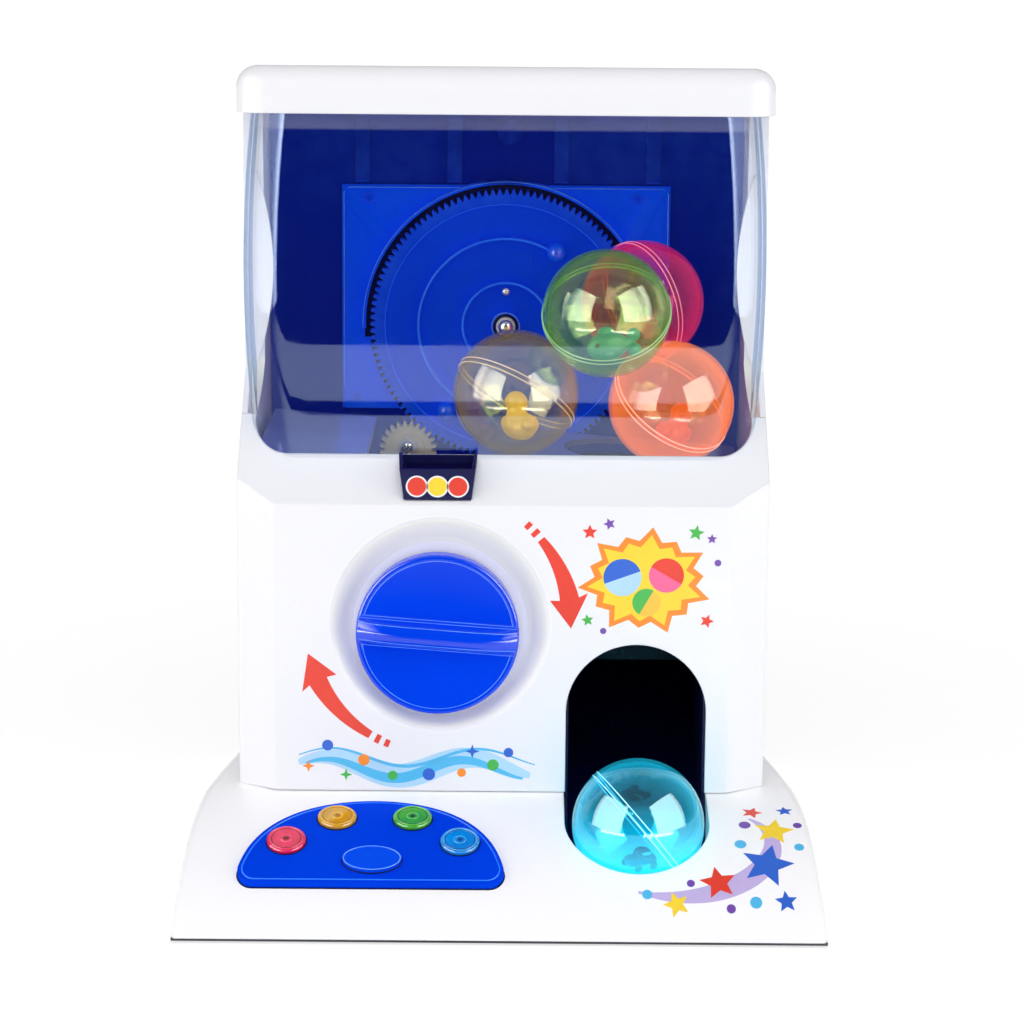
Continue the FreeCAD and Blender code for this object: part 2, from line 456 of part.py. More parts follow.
# ---- button panel, buttons, keypad, boards and lamps ----
def deck_frame(x, phi_deg, lift):
    phi = math.radians(phi_deg)
    r = DECK_R + lift
    return V(x, DECK_TANGENT_Y - r * math.sin(phi), DECK_Z - DECK_R + r * math.cos(phi)), V(0, -math.sin(phi), math.cos(phi))


BUTTONS = {"red": (-86.1, 22.2), "yellow": (-66.5, 16.0), "green": (-35.8, 16.0), "blue": (-16.2, 22.2)}
OVAL = (-51.2, 26.6)
panel = half_moon(0, 0, 60).common(deck_body(-2.0)).cut(deck_body(0))
skirt = half_moon(1.9, 0, 60).common(deck_body(-0.5)).cut(deck_body(2.4)).cut(half_moon(3.6, -1, 61))
panel = panel.fuse(skirt)


def along(base, n, r, h0, h1):
    return Part.makeCylinder(r, h1 - h0, base + n * h0, n)


def oval_solid(base, n, rx, ry, h0, h1):
    f = Part.Face(Part.Wire(Part.Ellipse(V(0, 0, 0), rx, ry).toShape())).extrude(V(0, 0, h1 - h0))
    f.Placement = FreeCAD.Placement(base + n * h0, FreeCAD.Rotation(V(1, 0, 0), V(0, 0, 0), n, "ZXY"))
    return f


for name, (x, phi) in BUTTONS.items():
    b, n = deck_frame(x, phi, 2.0)
    panel = panel.cut(along(b, n, BUTTON_R + 0.3, -12, 8))
bo, no = deck_frame(OVAL[0], OVAL[1], 2.0)
panel = panel.cut(oval_solid(bo, no, 12.2, 7.3, -12, 8))
save("button_panel", panel.removeSplitter())
# the deck clears every button below the panel
for name, (x, phi) in BUTTONS.items():
    b, n = deck_frame(x, phi, 2.0)
    base_tray = base_tray.cut(along(b, n, BUTTON_R + 0.35, -14, 3)).cut(along(b, n, 9.2, -14, -3.2))
base_tray = base_tray.cut(oval_solid(bo, no, 12.3, 7.4, -14, 3)).cut(oval_solid(bo, no, 13.6, 8.8, -14, -3.2))
save("base_tray", base_tray.removeSplitter())
for name, (x, phi) in BUTTONS.items():
    b, n = deck_frame(x, phi, 2.0)
    cap = along(b, n, BUTTON_R, -5.6, BUTTON_TOP)
    cap = try_fillet(cap, 0.8, lambda e: e.Length > 40 and (e.CenterOfMass - (b + n * BUTTON_TOP)).Length < 0.5)
    cap = union([cap, along(b, n, 8.8, -6.8, -5.4)])
    cap = cap.cut(along(b, n, 6.2, -7.0, 0.9))
    save(name + "_button", cap)
cap = oval_solid(bo, no, 11.85, 7.0, -5.6, BUTTON_TOP)
cap = union([cap, oval_solid(bo, no, 13.2, 8.4, -6.8, -5.4)]).cut(oval_solid(bo, no, 10.0, 5.2, -7.0, 0.9))
save("oval_button", cap)
pad_phi = 20.4
mid, mn = deck_frame(HALF_MOON_X, pad_phi, 0.0)
tang = V(0, -math.cos(math.radians(pad_phi)), -math.sin(math.radians(pad_phi)))


def tilted(x0, x1, s0, s1, h0, h1):
    # box in the tilted frame: s along the slope towards the front, h along its normal
    q = [mid + V(x - HALF_MOON_X, 0, 0) + tang * s for x, s in ((x0, s0), (x1, s0), (x1, s1), (x0, s1))]
    return poly_face([p + mn * h0 for p in q]).extrude(mn * (h1 - h0))


board = tilted(-98, -4, -21, 20.5, -15.6, -14.0)
save("button_circuit_board", board)
lamps, domes = [], []
for name, (x, phi) in list(BUTTONS.items()) + [("oval", OVAL)]:
    b, n = deck_frame(x, phi, 2.0)
    s = (b - n * 14.0 - mid).dot(tang)
    q = mid + V(x - HALF_MOON_X, 0, 0) + tang * s + mn * -14.0
    if name != "oval":
        lamps.append(Part.makeCylinder(2.2, 3.2, q, mn).fuse(Part.makeSphere(2.2, q + mn * 3.2)).removeSplitter())
    domes.append(Part.makeCylinder(7.4, 1.6, q, mn).cut(Part.makeCylinder(3.0, 4, q - mn, mn)) if name != "oval"
                 else Part.makeCylinder(4.5, 2.2, q, mn))
save("button_lamps", *lamps)
save("rubber_keypad", *domes)

# ---- main board, speaker, battery box ----
mb = box(-50, 14, P + 30, P + 74, 14, 15.6)
save("main_board", mb, box(-32, -14, P + 44, P + 58, 15.6, 17.2), cyl_z(2, P + 62, 4, 15.6, 24), cyl_z(2, P + 46, 3, 15.6, 22))
spk = union([cyl_z(SPK_X, SPK_Y, 25, 4.5, 8.0), Part.makeCone(22, 13, 7, V(SPK_X, SPK_Y, 8.0)), cyl_z(SPK_X, SPK_Y, 13, 15, 21)])
spk = spk.cut(Part.makeCone(20.5, 6, 5.5, V(SPK_X, SPK_Y, 4.5)))
save("speaker", spk)
CELL_R = 7.2
cells = [cyl_x(BAT_Y + dy, 13.0, CELL_R, -24.2, 24.2).fuse(cyl_x(BAT_Y + dy, 13.0, 2.6, *((24.2, 25.4) if k % 2 == 0 else (-25.4, -24.2)))).removeSplitter()
         for k, dy in enumerate((-15.5, 0.0, 15.5))]
save("aa_cells", *cells)
tray = box(-33, 33, BAT_Y - 27, BAT_Y + 27, 4.5, 24).cut(box(-31, 31, BAT_Y - 25, BAT_Y + 25, 0, 22))
save("battery_box", tray)
contacts = []
for sx in (-1, 1):
    for dy in (-15.5, 0.0, 15.5):
        a, b = sorted((sx * 30.9, sx * 30.2))
        contacts.append(box(a, b, BAT_Y + dy - 5, BAT_Y + dy + 5, 7, 19))
save("battery_contacts", *contacts)
door = box(-32.8, 32.8, BAT_Y - 26.8, BAT_Y + 26.8, FLOOR_Z, 4.3).cut(cyl_z(0, BAT_Y + 23.0, 1.5, 0, 8)).cut(cyl_z(0, BAT_Y + 23.0, 3.2, 0, 3.4))
save("battery_door", door)
sw = box(SW_X - 10, SW_X + 10, SW_Y - 6, SW_Y + 6, 4.5, 11).cut(box(SW_X - 6.5, SW_X + 6.5, SW_Y - 3.2, SW_Y + 3.2, 3, 8))
save("power_switch_body", sw)
sl = union([box(SW_X - 6.2, SW_X + 2.2, SW_Y - 2.9, SW_Y + 2.9, 4.9, 7.7), box(SW_X - 4.0, SW_X, SW_Y - 2.7, SW_Y + 2.7, 2.2, 5.0)])
save("power_switch", sl)

# ---- knob, shaft, bush and gear ----
knob = cyl_y(KNOB_X, KNOB_Z, KNOB_R, P - 1.0, P + 6.0)
knob = try_fillet(knob, 1.1, lambda e: e.BoundBox.YMax < P - 0.9)
bar = prism_x([(P + 0.5, KNOB_Z - 7.0), (P - 1.0, KNOB_Z - 6.6), (P - 2.6, KNOB_Z - 5.4), (P - 5.6, KNOB_Z - 4.3), (P - 6.9, KNOB_Z - 3.2),
               (P - 7.4, KNOB_Z - 1.6), (P - 7.6, KNOB_Z), (P - 7.4, KNOB_Z + 1.6), (P - 6.9, KNOB_Z + 3.2), (P - 5.6, KNOB_Z + 4.3),
               (P - 2.6, KNOB_Z + 5.4), (P - 1.0, KNOB_Z + 6.6), (P + 0.5, KNOB_Z + 7.0)], KNOB_X - 60, KNOB_X + 60)
knob = knob.fuse(bar.common(cyl_y(KNOB_X, KNOB_Z, KNOB_R - 0.2, P - 20, P + 6))).removeSplitter()
knob = knob.cut(cyl_y(KNOB_X, KNOB_Z, 4.0, P - 0.2, P + 7))
knob = knob.cut(cyl_y(KNOB_X, KNOB_Z, 31.2, P + 1.2, P + 7).cut(cyl_y(KNOB_X, KNOB_Z, 8.5, P, P + 8)))
knob.rotate(V(KNOB_X, 0, KNOB_Z), V(0, 1, 0), KNOB_TILT)
save("knob", knob)
save("knob_shaft", cyl_y(KNOB_X, KNOB_Z, 4.0, P - 0.2, 117.0))
bush = union([cyl_y(KNOB_X, KNOB_Z, 7.0, P + 7.2, P + 10.0), cyl_y(KNOB_X, KNOB_Z, 10.5, P + 9.2, P + 10.0)])
save("knob_bush", bush.cut(cyl_y(KNOB_X, KNOB_Z, 4.05, P, P + 30)))

# gear phases, all from the line of centres of each mesh
wheel_phase = PINION_ANGLE + math.pi / WHEEL_T
pinion_phase = PINION_ANGLE + math.pi
to_idler = math.atan2(IDLER_Z - PINION_Z, IDLER_X - PINION_X)
drive_phase = to_idler
idler_phase = to_idler + math.pi + math.pi / IDLER_T
to_knob = math.atan2(KNOB_Z - IDLER_Z, KNOB_X - IDLER_X)
pitch_i = 2 * math.pi / IDLER_T
eps = (idler_phase - to_knob) % pitch_i
knob_phase = to_knob + math.pi - eps * IDLER_T / KNOB_T + math.pi / KNOB_T

kg = gear(KNOB_T, knob_phase, KNOB_X, KNOB_Z, TRAIN_Y0, TRAIN_Y1).cut(cyl_y(KNOB_X, KNOB_Z, 4.0, 100, 120))
save("knob_gear", kg)
save("idler_gear", gear(IDLER_T, idler_phase, IDLER_X, IDLER_Z, TRAIN_Y0, TRAIN_Y1).cut(cyl_y(IDLER_X, IDLER_Z, 2.05, 100, 120)))

# ---- pinion on its shaft, with bracket ----
pg = union([gear(PINION_T, pinion_phase, PINION_X, PINION_Z, WHEEL_Y0, WHEEL_Y1), cyl_y(PINION_X, PINION_Z, 7.5, WHEEL_Y0 - 1.2, WHEEL_Y0 + 1)])
save("pinion_gear", pg.cut(cyl_y(PINION_X, PINION_Z, 3.0, 80, 100)))
save("pinion_shaft", cyl_y(PINION_X, PINION_Z, 3.0, 84.6, 115.0))
save("pinion_drive_gear", gear(PINION_T, drive_phase, PINION_X, PINION_Z, TRAIN_Y0, TRAIN_Y1).cut(cyl_y(PINION_X, PINION_Z, 3.0, 100, 120)))
strip = union([box(PINION_X - 4.3, PINION_X + 4.3, 83.0, 84.2, PINION_Z - 18.2, PINION_Z + 1.4), cyl_y(PINION_X, PINION_Z + 1.4, 4.3, 83.0, 84.2),
               box(PINION_X - 4.3, PINION_X + 4.3, 83.0, BACK_PLATE_Y, PINION_Z - 18.2, PINION_Z - 17.0)])
BR_SCREWS = [PINION_Z + 1.6, PINION_Z - 3.5]
for z in BR_SCREWS:
    strip = strip.cut(cyl_y(PINION_X, z, 0.9, 80, 90))
save("pinion_bracket", strip)
save("bracket_screws", *[pan_screw((PINION_X, 83.0, z), (0, 1, 0), 2.45, 1.8, 0.9, 1.2) for z in BR_SCREWS])

# ---- agitator wheel ----
wh = gear(WHEEL_T, wheel_phase, WHEEL_X, WHEEL_Z, WHEEL_Y0, WHEEL_Y1)
wh = wh.cut(cyl_y(WHEEL_X, WHEEL_Z, 54.4, WHEEL_Y0 - 1, WHEEL_Y0 + 1.2))
wh = wh.cut(cyl_y(WHEEL_X, WHEEL_Z, 53.0, WHEEL_Y0 + 4.0, WHEEL_Y1 + 1).cut(cyl_y(WHEEL_X, WHEEL_Z, 10.0, 80, 100)))


def arc_rib(r, w, a0, a1, y0, y1):
    ring_ = cyl_y(WHEEL_X, WHEEL_Z, r + w / 2, y0, y1).cut(cyl_y(WHEEL_X, WHEEL_Z, r - w / 2, y0 - 1, y1 + 1))
    n = max(4, int((a1 - a0) / 12))
    fan = [(WHEEL_X, WHEEL_Z)] + [(WHEEL_X + 80 * math.cos(math.radians(a0 + (a1 - a0) * k / n)),
                                   WHEEL_Z + 80 * math.sin(math.radians(a0 + (a1 - a0) * k / n))) for k in range(n + 1)]
    return ring_.common(prism_y(fan, y0 - 1, y1 + 1))


parts_w = [wh, arc_rib(39.3, 1.8, 58, 147, 84.6, WHEEL_Y0 + 1.5), arc_rib(39.3, 1.8, 146, 236, 84.6, WHEEL_Y0 + 1.5),
           arc_rib(19.4, 1.8, -20, 110, 85.2, WHEEL_Y0 + 1.5), arc_rib(19.4, 1.8, 109, 220, 85.2, WHEEL_Y0 + 1.5),
           cyl_y(WHEEL_X, WHEEL_Z, 6.5, 82.9, 94.5).cut(cyl_y(WHEEL_X, WHEEL_Z, 4.7, 80, 84.6))]
for px, pz in ((22.4, 33.3), (-26.7, -39.0)):
    parts_w.append(cyl_y(WHEEL_X + px, WHEEL_Z + pz, 4.0, 82.5, WHEEL_Y0 + 1.5))
    parts_w.append(Part.makeSphere(4.0, V(WHEEL_X + px, 83.9, WHEEL_Z + pz)))
parts_w.append(cyl_y(WHEEL_X, WHEEL_Z + 15.4, 1.6, 86.4, WHEEL_Y0 + 1.5))
wh = union(parts_w).cut(cyl_y(WHEEL_X, WHEEL_Z, AXLE_R + 0.05, 70, 120))
save("agitator_wheel", wh)
save("wheel_washer", cyl_y(WHEEL_X, WHEEL_Z, 4.3, 83.2, 84.2).cut(cyl_y(WHEEL_X, WHEEL_Z, 1.5, 80, 90)))
save("wheel_axle_screw", pan_screw((WHEEL_X, 83.2, WHEEL_Z), (0, 1, 0), 2.9, 2.2, 1.5, 11.0))

# ---- capsules: two half shells with a snap seam, a small toy inside ----
CAPSULES = {  # centre, direction of the top half
    "yellow": ((5.1, P + 62.0, 196.0), (0.45, 0.39, 0.80)),
    "orange": ((71.5, P + 68.0, 191.0), (0.48, -0.44, 0.76)),
    "green": ((42.6, P + 47.5, 232.4), (-0.09, -0.65, 0.75)),
    "magenta": ((60.0, P + 104.5, 229.8), (0.81, 0.54, 0.22)),
    "blue": ((55.9, P - 31.0, 34.1), (0.757, 0.196, 0.624)),
}


def half_shell(c, d, sign):
    c, d = V(*c), V(*d)
    d.normalize()
    d = d * sign
    ball = Part.makeSphere(CAPSULE_R, c).fuse(Part.makeCylinder(SEAM_R, 2.4, c - d * 1.2, d)).removeSplitter()
    ball = ball.cut(Part.makeSphere(CAPSULE_R - 1.3, c))
    return ball.common(Part.makeCylinder(40, 40, c, d))


for name, (c, d) in CAPSULES.items():
    save(name + "_capsule_top", half_shell(c, d, 1))
    save(name + "_capsule_bottom", half_shell(c, d, -1))


def toy(c, r):
    x, y, z = c
    body = Part.makeSphere(r, V(x, y, z - r * 0.5))
    head = Part.makeSphere(r * 0.72, V(x, y, z + r * 0.72))
    return union([body, head, Part.makeSphere(r * 0.3, V(x - r * 0.5, y, z + r * 1.25)), Part.makeSphere(r * 0.3, V(x + r * 0.5, y, z + r * 1.25))])


save("prize_toys", *[toy(CAPSULES[n][0], 11.0) for n in ("yellow", "orange", "green", "magenta")])
save("blue_toy", toy(CAPSULES["blue"][0], 10.0))
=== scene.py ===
import math
import random

import bmesh
import bpy
from mathutils import Matrix, Vector


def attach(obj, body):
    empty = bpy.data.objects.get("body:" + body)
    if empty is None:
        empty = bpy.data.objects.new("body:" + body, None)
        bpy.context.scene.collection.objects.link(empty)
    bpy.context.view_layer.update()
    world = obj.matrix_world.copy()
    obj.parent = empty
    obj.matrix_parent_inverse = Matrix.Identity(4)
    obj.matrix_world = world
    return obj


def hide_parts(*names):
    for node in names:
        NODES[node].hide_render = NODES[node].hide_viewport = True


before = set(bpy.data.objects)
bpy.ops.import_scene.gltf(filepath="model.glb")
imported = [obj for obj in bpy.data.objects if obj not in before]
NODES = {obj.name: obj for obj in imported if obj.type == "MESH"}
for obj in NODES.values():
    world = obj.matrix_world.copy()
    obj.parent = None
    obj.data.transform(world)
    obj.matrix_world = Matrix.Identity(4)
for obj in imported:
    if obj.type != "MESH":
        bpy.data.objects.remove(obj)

random.seed(11)
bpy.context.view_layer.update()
MM = 0.001


# ---------------------------------------------------------------- materials
def srgb(r, g, b):
    def lin(c):
        c /= 255.0
        return c / 12.92 if c <= 0.04045 else ((c + 0.055) / 1.055) ** 2.4

    return (lin(r), lin(g), lin(b))


def rgba(c, k=1.0):
    return (min(1.0, c[0] * k), min(1.0, c[1] * k), min(1.0, c[2] * k), 1.0)


class Mat:
    """A material whose nodes are added one by one."""

    def __init__(self, name):
        self.m = bpy.data.materials.new(name)
        self.m.use_nodes = True
        self.t = self.m.node_tree
        self.t.nodes.clear()
        self.out = self.t.nodes.new("ShaderNodeOutputMaterial")
        self.tc = self.t.nodes.new("ShaderNodeTexCoord")

    def n(self, kind, **values):
        node = self.t.nodes.new(kind)
        for k, v in values.items():
            if hasattr(node, k):
                setattr(node, k, v)
            else:
                node.inputs[k.replace("_", " ")].default_value = v
        return node

    def link(self, a, b):
        self.t.links.new(a, b)

    def noise(self, scale, detail=2.0, rough=0.5):
        nd = self.n("ShaderNodeTexNoise")
        nd.inputs["Scale"].default_value = scale
        nd.inputs["Detail"].default_value = detail
        nd.inputs["Roughness"].default_value = rough
        self.link(self.tc.outputs["Object"], nd.inputs["Vector"])
        return nd

    def ranged(self, source, lo, hi, a=0.3, b=0.7):
        mr = self.n("ShaderNodeMapRange")
        mr.inputs["From Min"].default_value = a
        mr.inputs["From Max"].default_value = b
        mr.inputs["To Min"].default_value = lo
        mr.inputs["To Max"].default_value = hi
        self.link(source, mr.inputs["Value"])
        return mr.outputs["Result"]

    def mix(self, fac, a, b):
        mx = self.n("ShaderNodeMix")
        mx.data_type = "RGBA"
        if isinstance(fac, float):
            mx.inputs[0].default_value = fac
        else:
            self.link(fac, mx.inputs[0])
        for s, v in ((mx.inputs[6], a), (mx.inputs[7], b)):
            if isinstance(v, tuple):
                s.default_value = v
            else:
                self.link(v, s)
        return mx.outputs[2]


def plastic(
    name,
    col,
    rough=0.3,
    vary=0.04,
    blotch=11.0,
    grain=1500.0,
    bump=0.05,
    edge=0.0005,
    spec=0.5,
    sss=0.0,
    coat=0.0,
    glow=0.0,
    metal=0.0,
    edge_sheen=0.0,
    tint=None,
    painted_shade_zones=(),
    edge_gloss=0.0,
    gloss_range=(0.05, 0.30),
    gloss_ior=1.9,
    uneven=0.05,
):
    """Moulded plastic: slow colour drift, fine speckle, uneven gloss, moulding grain and rounded edges; optionally
    painted shade zones along an axis, a painted highlight on convex edges and a painted glow (emission).
    """
    k = Mat(name)
    p = k.n("ShaderNodeBsdfPrincipled")
    slow = k.noise(blotch, 3.0)
    fine = k.noise(blotch * 23.0, 2.0)
    c1 = k.mix(
        k.ranged(slow.outputs["Fac"], 0.0, 1.0),
        rgba(col, 1.0 - vary),
        rgba(tint or col, 1.0 + vary * 0.5),
    )
    c2 = k.mix(k.ranged(fine.outputs["Fac"], 0.0, 0.5, 0.52, 0.8), c1, rgba(col, 1.0 - 1.6 * vary))
    colour = c2
    for axis, start, end, shade in painted_shade_zones:
        # painted shade: the colour passes over to a darker tone along one axis of the piece
        ax = k.n("ShaderNodeSeparateXYZ")
        k.link(k.tc.outputs["Object"], ax.inputs[0])
        colour = k.mix(k.ranged(ax.outputs[axis], 0.0, 1.0, start, end), colour, rgba(shade))
    # painted highlight: convex edges (found by pointiness) are lightened towards a paler blue, broken up by noise
    if edge_sheen > 0.0:
        geo = k.n("ShaderNodeNewGeometry")
        sheen_breakup = k.noise(90.0, 3.0)
        m1 = k.n("ShaderNodeMath", operation="MULTIPLY")
        k.link(k.ranged(geo.outputs["Pointiness"], 0.0, edge_sheen, 0.53, 0.62), m1.inputs[0])
        k.link(k.ranged(sheen_breakup.outputs["Fac"], 0.2, 1.0), m1.inputs[1])
        colour = k.mix(m1.outputs[0], colour, rgba(tuple(min(1.0, v + a) for v, a in zip(col, (0.05, 0.14, 0.22)))))
    k.link(colour, p.inputs["Base Color"])
    k.link(k.ranged(k.noise(45.0, 4.0).outputs["Fac"], rough - uneven, rough + uneven), p.inputs["Roughness"])
    p.inputs["Specular IOR Level"].default_value = spec
    p.inputs["Metallic"].default_value = metal
    if sss:
        p.inputs["Subsurface Weight"].default_value = sss
        p.inputs["Subsurface Radius"].default_value = (1.0, 1.0, 1.0)
        p.inputs["Subsurface Scale"].default_value = 0.0015
    if coat:
        p.inputs["Coat Weight"].default_value = coat
        p.inputs["Coat Roughness"].default_value = 0.05
    if edge_gloss:
        lw = k.n("ShaderNodeLayerWeight")
        lw.inputs["Blend"].default_value = 0.5
        k.link(k.ranged(lw.outputs["Facing"], 0.0, edge_gloss, *gloss_range), p.inputs["Coat Weight"])
        p.inputs["Coat IOR"].default_value = gloss_ior
        p.inputs["Coat Roughness"].default_value = 0.06
    # painted glow: emission in the piece's own colour, though it is no lamp
    if glow:
        k.link(colour, p.inputs["Emission Color"])
        p.inputs["Emission Strength"].default_value = glow
    b = k.n("ShaderNodeBump")
    b.inputs["Strength"].default_value = bump
    b.inputs["Distance"].default_value = 0.0002
    k.link(k.noise(grain, 2.0).outputs["Fac"], b.inputs["Height"])
    if edge:
        bv = k.n("ShaderNodeBevel")
        bv.samples = 4
        bv.inputs["Radius"].default_value = edge
        k.link(bv.outputs["Normal"], b.inputs["Normal"])
    k.link(b.outputs["Normal"], p.inputs["Normal"])
    k.link(p.outputs["BSDF"], k.out.inputs["Surface"])
    return k.m


def clear(
    name, tint, body, share=0.03, rough=0.03, streak=0.02, glow=0.0, edge_share=0.0, edge_tint=None, shine=(1.0, 1.0, 1.0), base=0.04,
    rim=None, ripple=0.02, edge_from=0.35, pool=None, corner=None,
):
    """See-through moulded plastic: a tinted film that deepens at the rim, a faint haze that drifts over it, and a gloss
    that grows at grazing angles, alike from both sides of the wall. rim = (height, share): milky above that height;
    pool = (top, bottom, share): painted light, the haze share grows towards the underside;
    corner = (from, to, gloss): gloss where the wall turns away from the front."""
    k = Mat(name)
    lw = k.n("ShaderNodeLayerWeight")
    lw.inputs["Blend"].default_value = 0.5
    tr = k.n("ShaderNodeBsdfTransparent")
    haze = k.noise(26.0, 4.0)
    film = k.mix(k.ranged(haze.outputs["Fac"], 0.0, 1.0), rgba(tint, 0.985), rgba(tint, 1.0))
    if edge_tint:
        film = k.mix(k.ranged(lw.outputs["Facing"], 0.0, 1.0, edge_from, 1.0), film, rgba(edge_tint))
    k.link(film, tr.inputs["Color"])
    p = k.n("ShaderNodeBsdfPrincipled")
    k.link(
        k.mix(k.ranged(k.noise(40.0, 3.0).outputs["Fac"], 0.0, 1.0), rgba(body, 0.92), rgba(body, 1.04)),
        p.inputs["Base Color"],
    )
    p.inputs["Specular IOR Level"].default_value = 0.0
    p.inputs["Roughness"].default_value = 0.5
    # painted glow: emission in the haze colour, though the plastic is no lamp
    if glow:
        p.inputs["Emission Color"].default_value = rgba(body)
        p.inputs["Emission Strength"].default_value = glow
    m1 = k.n("ShaderNodeMixShader")
    part = k.ranged(k.noise(17.0, 4.0).outputs["Fac"], share - streak, share + streak)
    if edge_share:
        fac = k.n("ShaderNodeMath", operation="POWER")
        k.link(lw.outputs["Facing"], fac.inputs[0])
        fac.inputs[1].default_value = 2.0
        mm = k.n("ShaderNodeMath", operation="MULTIPLY_ADD")
        k.link(fac.outputs[0], mm.inputs[0])
        mm.inputs[1].default_value = edge_share
        k.link(part, mm.inputs[2])
        part = mm.outputs[0]
    if rim:
        sep = k.n("ShaderNodeSeparateXYZ")
        k.link(k.tc.outputs["Object"], sep.inputs[0])
        ad = k.n("ShaderNodeMath", operation="ADD")
        k.link(k.ranged(sep.outputs["Z"], 0.0, rim[1], rim[0] - 0.0006, rim[0] + 0.0006), ad.inputs[0])
        k.link(part, ad.inputs[1])
        part = ad.outputs[0]
    # painted light: more haze towards the underside
    if pool:
        low = k.n("ShaderNodeSeparateXYZ")
        k.link(k.tc.outputs["Object"], low.inputs[0])
        ap = k.n("ShaderNodeMath", operation="ADD")
        k.link(k.ranged(low.outputs["Z"], pool[2], 0.0, pool[1], pool[0]), ap.inputs[0])
        k.link(part, ap.inputs[1])
        part = ap.outputs[0]
    k.link(part, m1.inputs[0])
    k.link(tr.outputs[0], m1.inputs[1])
    k.link(p.outputs[0], m1.inputs[2])
    gl = k.n("ShaderNodeBsdfGlossy")
    gl.inputs["Color"].default_value = rgba(shine)
    k.link(k.ranged(k.noise(60.0, 3.0).outputs["Fac"], max(0.0, rough - 0.015), rough + 0.02), gl.inputs["Roughness"])
    b = k.n("ShaderNodeBump")
    b.inputs["Strength"].default_value = ripple
    b.inputs["Distance"].default_value = 0.0002
    k.link(k.noise(35.0, 2.0).outputs["Fac"], b.inputs["Height"])
    k.link(b.outputs["Normal"], gl.inputs["Normal"])
    pw = k.n("ShaderNodeMath", operation="POWER")
    k.link(lw.outputs["Facing"], pw.inputs[0])
    pw.inputs[1].default_value = 5.0
    fr = k.n("ShaderNodeMath", operation="MULTIPLY_ADD")
    k.link(pw.outputs[0], fr.inputs[0])
    fr.inputs[1].default_value = 0.85
    fr.inputs[2].default_value = base
    if corner:
        k.link(k.ranged(lw.outputs["Facing"], base, corner[2], corner[0], corner[1]), fr.inputs[2])
    m2 = k.n("ShaderNodeMixShader")
    k.link(fr.outputs[0], m2.inputs[0])
    k.link(m1.outputs[0], m2.inputs[1])
    k.link(gl.outputs[0], m2.inputs[2])
    k.link(m2.outputs[0], k.out.inputs["Surface"])
    return k.m


def steel(name, rough=0.30, col=(0.80, 0.80, 0.81), metal=0.45):
    k = Mat(name)
    p = k.n("ShaderNodeBsdfPrincipled")
    p.inputs["Metallic"].default_value = metal
    mp = k.n("ShaderNodeMapping")
    mp.inputs["Scale"].default_value = (1.0, 1.0, 12.0)
    k.link(k.tc.outputs["Object"], mp.inputs["Vector"])
    br = k.n("ShaderNodeTexNoise")
    br.inputs["Scale"].default_value = 320.0
    br.inputs["Detail"].default_value = 4.0
    k.link(mp.outputs[0], br.inputs["Vector"])
    k.link(
        k.mix(k.ranged(br.outputs["Fac"], 0.0, 1.0), rgba(col, 0.86), rgba(col, 1.06)),
        p.inputs["Base Color"],
    )
    k.link(k.ranged(br.outputs["Fac"], rough - 0.06, rough + 0.1), p.inputs["Roughness"])
    b = k.n("ShaderNodeBump")
    b.inputs["Strength"].default_value = 0.08
    b.inputs["Distance"].default_value = 0.0001
    k.link(br.outputs["Fac"], b.inputs["Height"])
    bv = k.n("ShaderNodeBevel")
    bv.samples = 4
    bv.inputs["Radius"].default_value = 0.0002
    k.link(bv.outputs["Normal"], b.inputs["Normal"])
    k.link(b.outputs["Normal"], p.inputs["Normal"])
    k.link(p.outputs[0], k.out.inputs["Surface"])
    return k.m


def jelly(name, col, deep, share=0.2, rough=0.1, glow=0.06):
    """Translucent button plastic: subsurface scattering with a painted glow (emission) under a wet gloss."""
    k = Mat(name)
    p = k.n("ShaderNodeBsdfPrincipled")
    slow = k.noise(160.0, 2.0)
    k.link(k.mix(k.ranged(slow.outputs["Fac"], 0.0, 1.0), rgba(deep), rgba(col)), p.inputs["Base Color"])
    p.inputs["Subsurface Weight"].default_value = share
    p.inputs["Subsurface Radius"].default_value = (1.0, 0.8, 0.8)
    p.inputs["Subsurface Scale"].default_value = 0.003
    k.link(k.ranged(k.noise(300.0, 2.0).outputs["Fac"], rough - 0.04, rough + 0.05), p.inputs["Roughness"])
    p.inputs["Coat Weight"].default_value = 0.6
    p.inputs["Coat Roughness"].default_value = 0.04
    p.inputs["Emission Color"].default_value = rgba(col)
    p.inputs["Emission Strength"].default_value = glow
    b = k.n("ShaderNodeBump")
    b.inputs["Strength"].default_value = 0.03
    b.inputs["Distance"].default_value = 0.0002
    k.link(k.noise(700.0, 2.0).outputs["Fac"], b.inputs["Height"])
    bv = k.n("ShaderNodeBevel")
    bv.samples = 4
    bv.inputs["Radius"].default_value = 0.0007
    k.link(bv.outputs["Normal"], b.inputs["Normal"])
    k.link(b.outputs["Normal"], p.inputs["Normal"])
    k.link(p.outputs[0], k.out.inputs["Surface"])
    return k.m


def tintpow(c, e):
    return tuple(max(v, 1e-4) ** e for v in c)


WHITE = plastic(
    "white_abs", srgb(240, 240, 244), rough=0.27, vary=0.002, blotch=2.2, edge=0.0009, tint=srgb(240, 240, 244), spec=0.22, uneven=0.004,
)
# painted light: a paler copy of the white housing plastic with a faint glow, brightening the base tray's deck
WHITE_BASE = plastic(
    "white_abs_base", srgb(249, 248, 250), rough=0.27, vary=0.002, blotch=2.2, edge=0.0009, tint=srgb(249, 248, 250), spec=0.22, uneven=0.004, glow=0.035,
)
